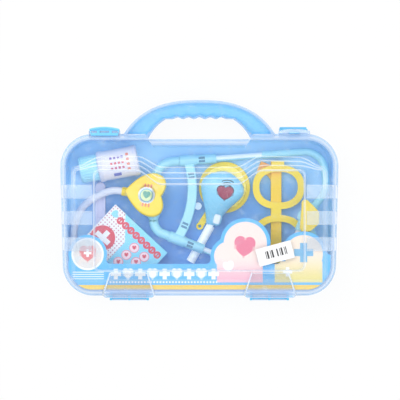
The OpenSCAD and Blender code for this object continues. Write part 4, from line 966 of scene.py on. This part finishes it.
def smooth_path(points):
    """A Catmull-Rom curve through the points: each span is the cubic of its own and its neighbours' ends."""
    p = np.asarray(points, float)
    p = np.concatenate([[2 * p[0] - p[1]], p, [2 * p[-1] - p[-2]]])
    t = np.linspace(0, 1, 6, endpoint=False)[None, :, None]
    a, b, c, d = p[:-3, None], p[1:-2, None], p[2:-1, None], p[3:, None]
    spans = 0.5 * (2 * b + (c - a) * t + (2 * a - 5 * b + 4 * c - d) * t ** 2
                   + (3 * b - a - 3 * c + d) * t ** 3)
    return np.concatenate([spans.reshape(-1, 3), p[-2:-1]])


def headset_place(points, at):
    """From the headset's own plane to the case: tilted -5.4 degrees about X and -1.8 about Y."""
    a, b = math.radians(-5.4), math.radians(-1.8)
    turn_x = np.array([[1, 0, 0], [0, math.cos(a), -math.sin(a)], [0, math.sin(a), math.cos(a)]])
    turn_y = np.array([[math.cos(b), 0, math.sin(b)], [0, 1, 0], [-math.sin(b), 0, math.cos(b)]])
    return (np.asarray(points, float) + (at[0], at[1] - 18, 0)) @ (turn_y @ turn_x).T + (0, 18, 12.7)


def heart_place(rings):
    """From the chest piece's own plane to the case."""
    return headset_place(turned(rings, -98, (0, 0, 12.9)), (-59.8, 21.6))


def heart_half(way, edge):
    """Half of the plump heart: 24.2 sin t |sin t|^0.9 across by 1.68 (13.5 cos t - 3.2 cos 2t - 1.2 cos 3t
    - 0.4 cos 4t) + 3.85, drawn in along a quarter turn of radius edge, with a round recess in front."""
    thick, recess_y = 5.0, 2.4
    t = np.linspace(0, 2 * math.pi, 160, endpoint=False)
    height = 13.5 * np.cos(t) - 3.2 * np.cos(2 * t) - 1.2 * np.cos(3 * t) - 0.4 * np.cos(4 * t)
    curve = np.column_stack([24.2 * np.sin(t) * np.abs(np.sin(t)) ** 0.9, 1.68 * height + 3.85])
    rings = [at_height(curve, 0.08 * way)]
    for a in np.radians(np.arange(0, 91, 10)):
        drawn_in = curve * (1 - edge * (1 - math.cos(a)) / 24)
        rings.append(at_height(drawn_in, way * (thick - edge + edge * math.sin(a))))
    rings += [at_height(drawn_in * k, way * thick) for k in (0.8, 0.6, 0.46, 0.4)]
    a = np.arctan2(curve[:, 1] - recess_y, curve[:, 0])
    circle = np.column_stack([np.cos(a), np.sin(a)])
    recess = ((9.9, thick), (9.6, thick - 0.4)) if way > 0 else ((9.9, thick),)
    rings += [at_height(radius * circle + (0, recess_y), way * z) for radius, z in recess]
    return heart_place(np.array(rings))


def egg_place(rings):
    """From the pulse meter's own upright plane to the case."""
    return turned(rings, -14, (13.3, -11.2, 0))


def egg_half(way):
    """Half of the pulse meter's head. Half width: max(0.4, 6.4(1 - u) + 19.7 sin(180 u^2.1)^0.62); height:
    min(12, 0.56 w + 0.9 (1 - u) cubed) times sin^0.8 across. Past its neck it is 11% wider and 2.2 mm
    further to the right."""
    u = (1 - np.cos(np.linspace(0, math.pi, 97))) / 2
    full = np.clip((u - 0.3) / 0.4, 0, 1)[:, None]
    full = full * full * (3 - 2 * full)
    w = np.maximum(0.4, 6.4 * (1 - u) + 19.708 * np.sin(math.pi * u ** 2.1).clip(0) ** 0.62)
    h = np.minimum(12, 0.56 * w + 0.9 * (1 - u) ** 3)
    a = np.linspace(0, math.pi, 49)
    x = w[:, None] * np.cos(a) * (1 + 0.11 * full) + 2.2 * full
    y = np.broadcast_to((u * 61)[:, None], x.shape)
    z = (18.4 - 11.6 * (1 - u) ** 3)[:, None] + way * (0.05 + h[:, None] * np.sin(a) ** 0.8)
    return egg_place(np.dstack([x, y, z]))


def button_slab(grow, low, high, edge):
    """The push button's rounded block, larger by grow, where it stands on the egg's neck."""
    corners = [arc((4.4 + 1.25 * to_right, 7.5 + 2.9 * up), 2.4 + grow, start, start + 90, 8)
               for to_right, up, start in ((1, 1, 0), (-1, 1, 90), (-1, -1, 180), (1, -1, 270))]
    return Form().slab(np.concatenate(corners), low, high, edge, egg_place)


def carve(form, other, operation):
    """form joined with other, or other taken out of it, by Blender's exact boolean."""
    solids = [put("part", part.mesh("part")) for part in (form, other)]
    boolean = solids[0].modifiers.new("Carve", "BOOLEAN")
    boolean.object, boolean.operation, boolean.solver = solids[1], operation, "EXACT"
    mesh = solids[0].evaluated_get(bpy.context.evaluated_depsgraph_get()).to_mesh()
    points = np.empty(len(mesh.vertices) * 3)
    mesh.vertices.foreach_get("co", points)
    result = Form().add(points.reshape(-1, 3) / MM, [list(f.vertices) for f in mesh.polygons])
    for solid in solids:
        old = solid.data
        bpy.data.objects.remove(solid)
        bpy.data.meshes.remove(old)
    return result


# ---------- operators ----------


class TOYCASE_OT_stage(bpy.types.Operator):
    """Camera above the case, white floor and world, and two soft lamps"""

    bl_idname = "toy_case.stage"
    bl_label = "Stage"

    def execute(self, context):
        sizes = context.scene.toy_case_sizes
        camera = put("Camera", bpy.data.cameras.new("Camera"))
        camera.data.sensor_width = 36
        camera.data.lens = 36 * sizes.camera_height / sizes.frame_width
        camera.location = (0.00066, 0.0162, PARTING * MM + sizes.camera_height)
        camera.data.clip_end = 20
        context.scene.camera = camera

        context.scene.world = bpy.data.worlds.new("Studio")
        context.scene.world.use_nodes = True
        sky = Nodes(context.scene.world.node_tree)
        rays = sky.node("ShaderNodeLightPath").outputs
        bright = Value(sky, rays["Is Camera Ray"]) | rays["Is Transmission Ray"] | rays["Is Glossy Ray"]
        white = sky.node("ShaderNodeBackground", Color=(1.0, 1.0, 1.0), Strength=0.58 + 0.42 * bright)
        sky.node("ShaderNodeOutputWorld", Surface=white.outputs[0])

        paper = Finish("White floor")
        paper.place()
        tone = paper.mix(paper.noise(90.0), (0.90, 0.90, 0.90), (0.94, 0.94, 0.94))
        matt = paper.node("ShaderNodeBsdfDiffuse", Color=tone)
        glow = paper.node("ShaderNodeEmission", Color=(1.0, 1.0, 1.0), Strength=1.0)
        rays = paper.node("ShaderNodeLightPath").outputs
        seen = Value(paper, rays["Is Camera Ray"]) | rays["Is Glossy Ray"]
        blend = paper.node("ShaderNodeMixShader", Fac=seen * 0.93, _1=matt.outputs[0], _2=glow.outputs[0])
        paper.feed(paper.out.inputs["Surface"], blend.outputs[0])
        square = [[-2500, -2500], [2500, -2500], [2500, 2500], [-2500, 2500]]
        ground = put("floor", Form().slab(square, -6, -0.4, 0.1).mesh("floor"))
        ground.data.materials.append(paper.material)

        for name, place, power in (("Key lamp", (-0.6, 0.6, 1.9), 20.0),
                                   ("Fill lamp", (0.8, -0.5, 1.6), 10.0)):
            lamp = put(name, bpy.data.lights.new(name, "AREA"))
            lamp.data.energy, lamp.data.size = power, 1.6
            lamp.location = place
            aim = mathutils.Vector((0, 0, 0.03)) - mathutils.Vector(place)
            lamp.rotation_euler = aim.to_track_quat("-Z", "Y").to_euler()
        context.scene.view_settings.view_transform = "Standard"
        return {"FINISHED"}


class TOYCASE_OT_tube(bpy.types.Operator):
    """Soft tube of the stethoscope, from the chest piece round the tray's floor to the junction"""

    bl_idname = "toy_case.tube"
    bl_label = "Stethoscope tube"

    def execute(self, context):
        radius = context.scene.toy_case_sizes.tube_radius / MM
        path = smooth_path(TUBE_ROUTE)
        tube = Form().tube(path, radius, 28, 0.5).piece("soft_tube", "tube", "soft_tube", "chest_tube", 60)
        return {"FINISHED"}


class TOYCASE_OT_tray(bpy.types.Operator):
    """Blue tray with its half handle, ribs, feet, hinge ears and catch tongues"""

    bl_idname = "toy_case.tray"
    bl_label = "Tray"

    def execute(self, context):
        tray_form().piece("blue_tray", "tray", "shell_blue", "back_shell", 30)
        return {"FINISHED"}


class TOYCASE_OT_lid(bpy.types.Operator):
    """Clear lid with its terraces, half handle, ribs, feet, lugs and knuckles, and a blank paper label"""

    bl_idname = "toy_case.lid"
    bl_label = "Clear lid"

    def execute(self, context):
        lid_form().piece("clear_lid", "clear", "clear_plastic", "front_shell", 30, "lid")
        paper = rounded([[-19.8, -9.7], [19.8, -9.7], [19.8, 9.7], [-19.8, 9.7]], 0.6, 4)
        label = Form().slab(paper, 59.885, 59.995, 0.04, lambda r: turned(r, LABEL_TURN, (*LABEL_AT, 0)))
        label.piece("paper_label", "label", "card_print", body="lid")
        return {"FINISHED"}


class TOYCASE_OT_latches(bpy.types.Operator):
    """Two snap latches: the left one shut, the right one folded open"""

    bl_idname = "toy_case.latches"
    bl_label = "Latches"

    def execute(self, context):
        recast("latch_left", "left_snap", "latch", 0.35, "left_latch")
        recast("latch_right", "right_snap", "latch", 0.35, "right_latch")
        return {"FINISHED"}


class TOYCASE_OT_card(bpy.types.Operator):
    """Printed card behind the lid"""

    bl_idname = "toy_case.card"
    bl_label = "Printed card"

    def execute(self, context):
        recast("insert_card", "printed_card", "card")
        return {"FINISHED"}


class TOYCASE_OT_medicine(bpy.types.Operator):
    """White jar with its ribbed cap, printed carton and toy thermometer"""

    bl_idname = "toy_case.medicine"
    bl_label = "Jar, carton and thermometer"

    def execute(self, context):
        recast("jar_body", "white_jar", "jar")
        recast("jar_cap", "ribbed_cap", "blue", 0.25)
        recast("medicine_carton", "printed_carton", "carton", 0.3)
        recast("thermometer", "flat_thermometer", "violet", 0.6)
        return {"FINISHED"}


class TOYCASE_OT_stethoscope(bpy.types.Operator):
    """Headset of the stethoscope, its rods, bent tubes and junction, and the heart-shaped chest piece"""

    bl_idname = "toy_case.stethoscope"
    bl_label = "Stethoscope"

    def execute(self, context):
        recast("headset_bridge", "stethoscope_headset_bridge", "headset", 0.4)
        for part, look, edge in (("ear_elbow", "blue", 0.3), ("arm_rod", "white", 0.3),
                                 ("arm_channel", "blue", 0.2), ("arm_bend", "blue", 0.3)):
            for end in ("upper", "lower"):
                recast(f"{part}_{end}", f"stethoscope_{part}_{end}", look, edge)
        recast("tube_junction", "stethoscope_tube_junction", "blue", 0.4)
        Form().skin(heart_half(1, 2.6)).piece("heart_face", "heart", "toy_yellow", "heart_front", 40)
        rear = Form().skin(heart_half(-1, 1.6)).lathe(
            [[0.1, 0], [4.9, 0], [4.9, 9.6], [4.6, 10], [4.3, 10], [4.3, 5.9], [0.1, 5.9]],
            lambda r: heart_place(np.stack([r[..., 0], -15.84 - r[..., 2], r[..., 1] - 4.7], -1)))
        rear.piece("heart_rear", "yellow", "toy_yellow", "heart_back", 40)
        return {"FINISHED"}


class TOYCASE_OT_pulse(bpy.types.Operator):
    """Egg-shaped pulse meter with its push button and hollow handle"""

    bl_idname = "toy_case.pulse"
    bl_label = "Pulse meter"

    def execute(self, context):
        floor = 13.5
        face = carve(Form().skin(egg_half(1)), button_slab(1.5, floor, floor + 3.9, 0.4), "UNION")
        face = carve(face, button_slab(0.4, floor + 0.7, floor + 10, 0.1), "DIFFERENCE")
        face.piece("pulse_face", "egg", "toy_blue", "pulse_front", 35)
        Form().skin(egg_half(-1)).piece("pulse_rear", "blue", "toy_blue", "pulse_back", 35)
        recast("pulse_button", "push_button", "white", 0.5, "button")
        recast("pulse_handle", "pulse_grip", "grip", 0.4)
        return {"FINISHED"}


class TOYCASE_OT_small_toys(bpy.types.Operator):
    """Yellow hand mirror, glasses and hammer, and a small white cap"""

    bl_idname = "toy_case.small_toys"
    bl_label = "Mirror, glasses and hammer"

    def execute(self, context):
        edge = context.scene.toy_case_sizes.edge_round / MM
        for node, look in (("mirror_frame", "yellow"), ("glasses_frame", "yellow"),
                           ("temple_upper", "temple"), ("temple_lower", "temple"),
                           ("reflex_hammer", "yellow")):
            recast(node, "toy_" + node, look, edge)
        recast("mirror_face", "toy_mirror_face", "foil", 0.1)
        recast("round_cap", "toy_round_cap", "white", 0.4)
        return {"FINISHED"}


class TOYCASE_PT_panel(bpy.types.Panel):
    """Sizes, colours and the pieces in the order in which they are made"""

    bl_label = "Toy case"
    bl_space_type = "VIEW_3D"
    bl_region_type = "UI"
    bl_category = "Toy case"

    def draw(self, context):
        for group in (context.scene.toy_case_sizes, context.scene.toy_case_colours):
            box = self.layout.box()
            for name in group.__annotations__:
                box.prop(group, name)
        for step in STEPS_IN_ORDER:
            self.layout.operator(step.bl_idname)


STEPS_IN_ORDER = (TOYCASE_OT_stage, TOYCASE_OT_tube, TOYCASE_OT_tray, TOYCASE_OT_lid, TOYCASE_OT_latches,
                  TOYCASE_OT_card, TOYCASE_OT_medicine, TOYCASE_OT_stethoscope, TOYCASE_OT_pulse,
                  TOYCASE_OT_small_toys)
CLASSES = (CaseSizes, CaseColours, *STEPS_IN_ORDER, TOYCASE_PT_panel)


def register():
    for c in CLASSES:
        bpy.utils.register_class(c)
    bpy.types.Scene.toy_case_sizes = bpy.props.PointerProperty(type=CaseSizes)
    bpy.types.Scene.toy_case_colours = bpy.props.PointerProperty(type=CaseColours)


def unregister():
    del bpy.types.Scene.toy_case_sizes
    del bpy.types.Scene.toy_case_colours
    for c in reversed(CLASSES):
        bpy.utils.unregister_class(c)


def main():
    register()
    for step in STEPS_IN_ORDER:
        area, name = step.bl_idname.split(".")
        getattr(getattr(bpy.ops, area), name)()


if __name__ == "__main__":
    main()
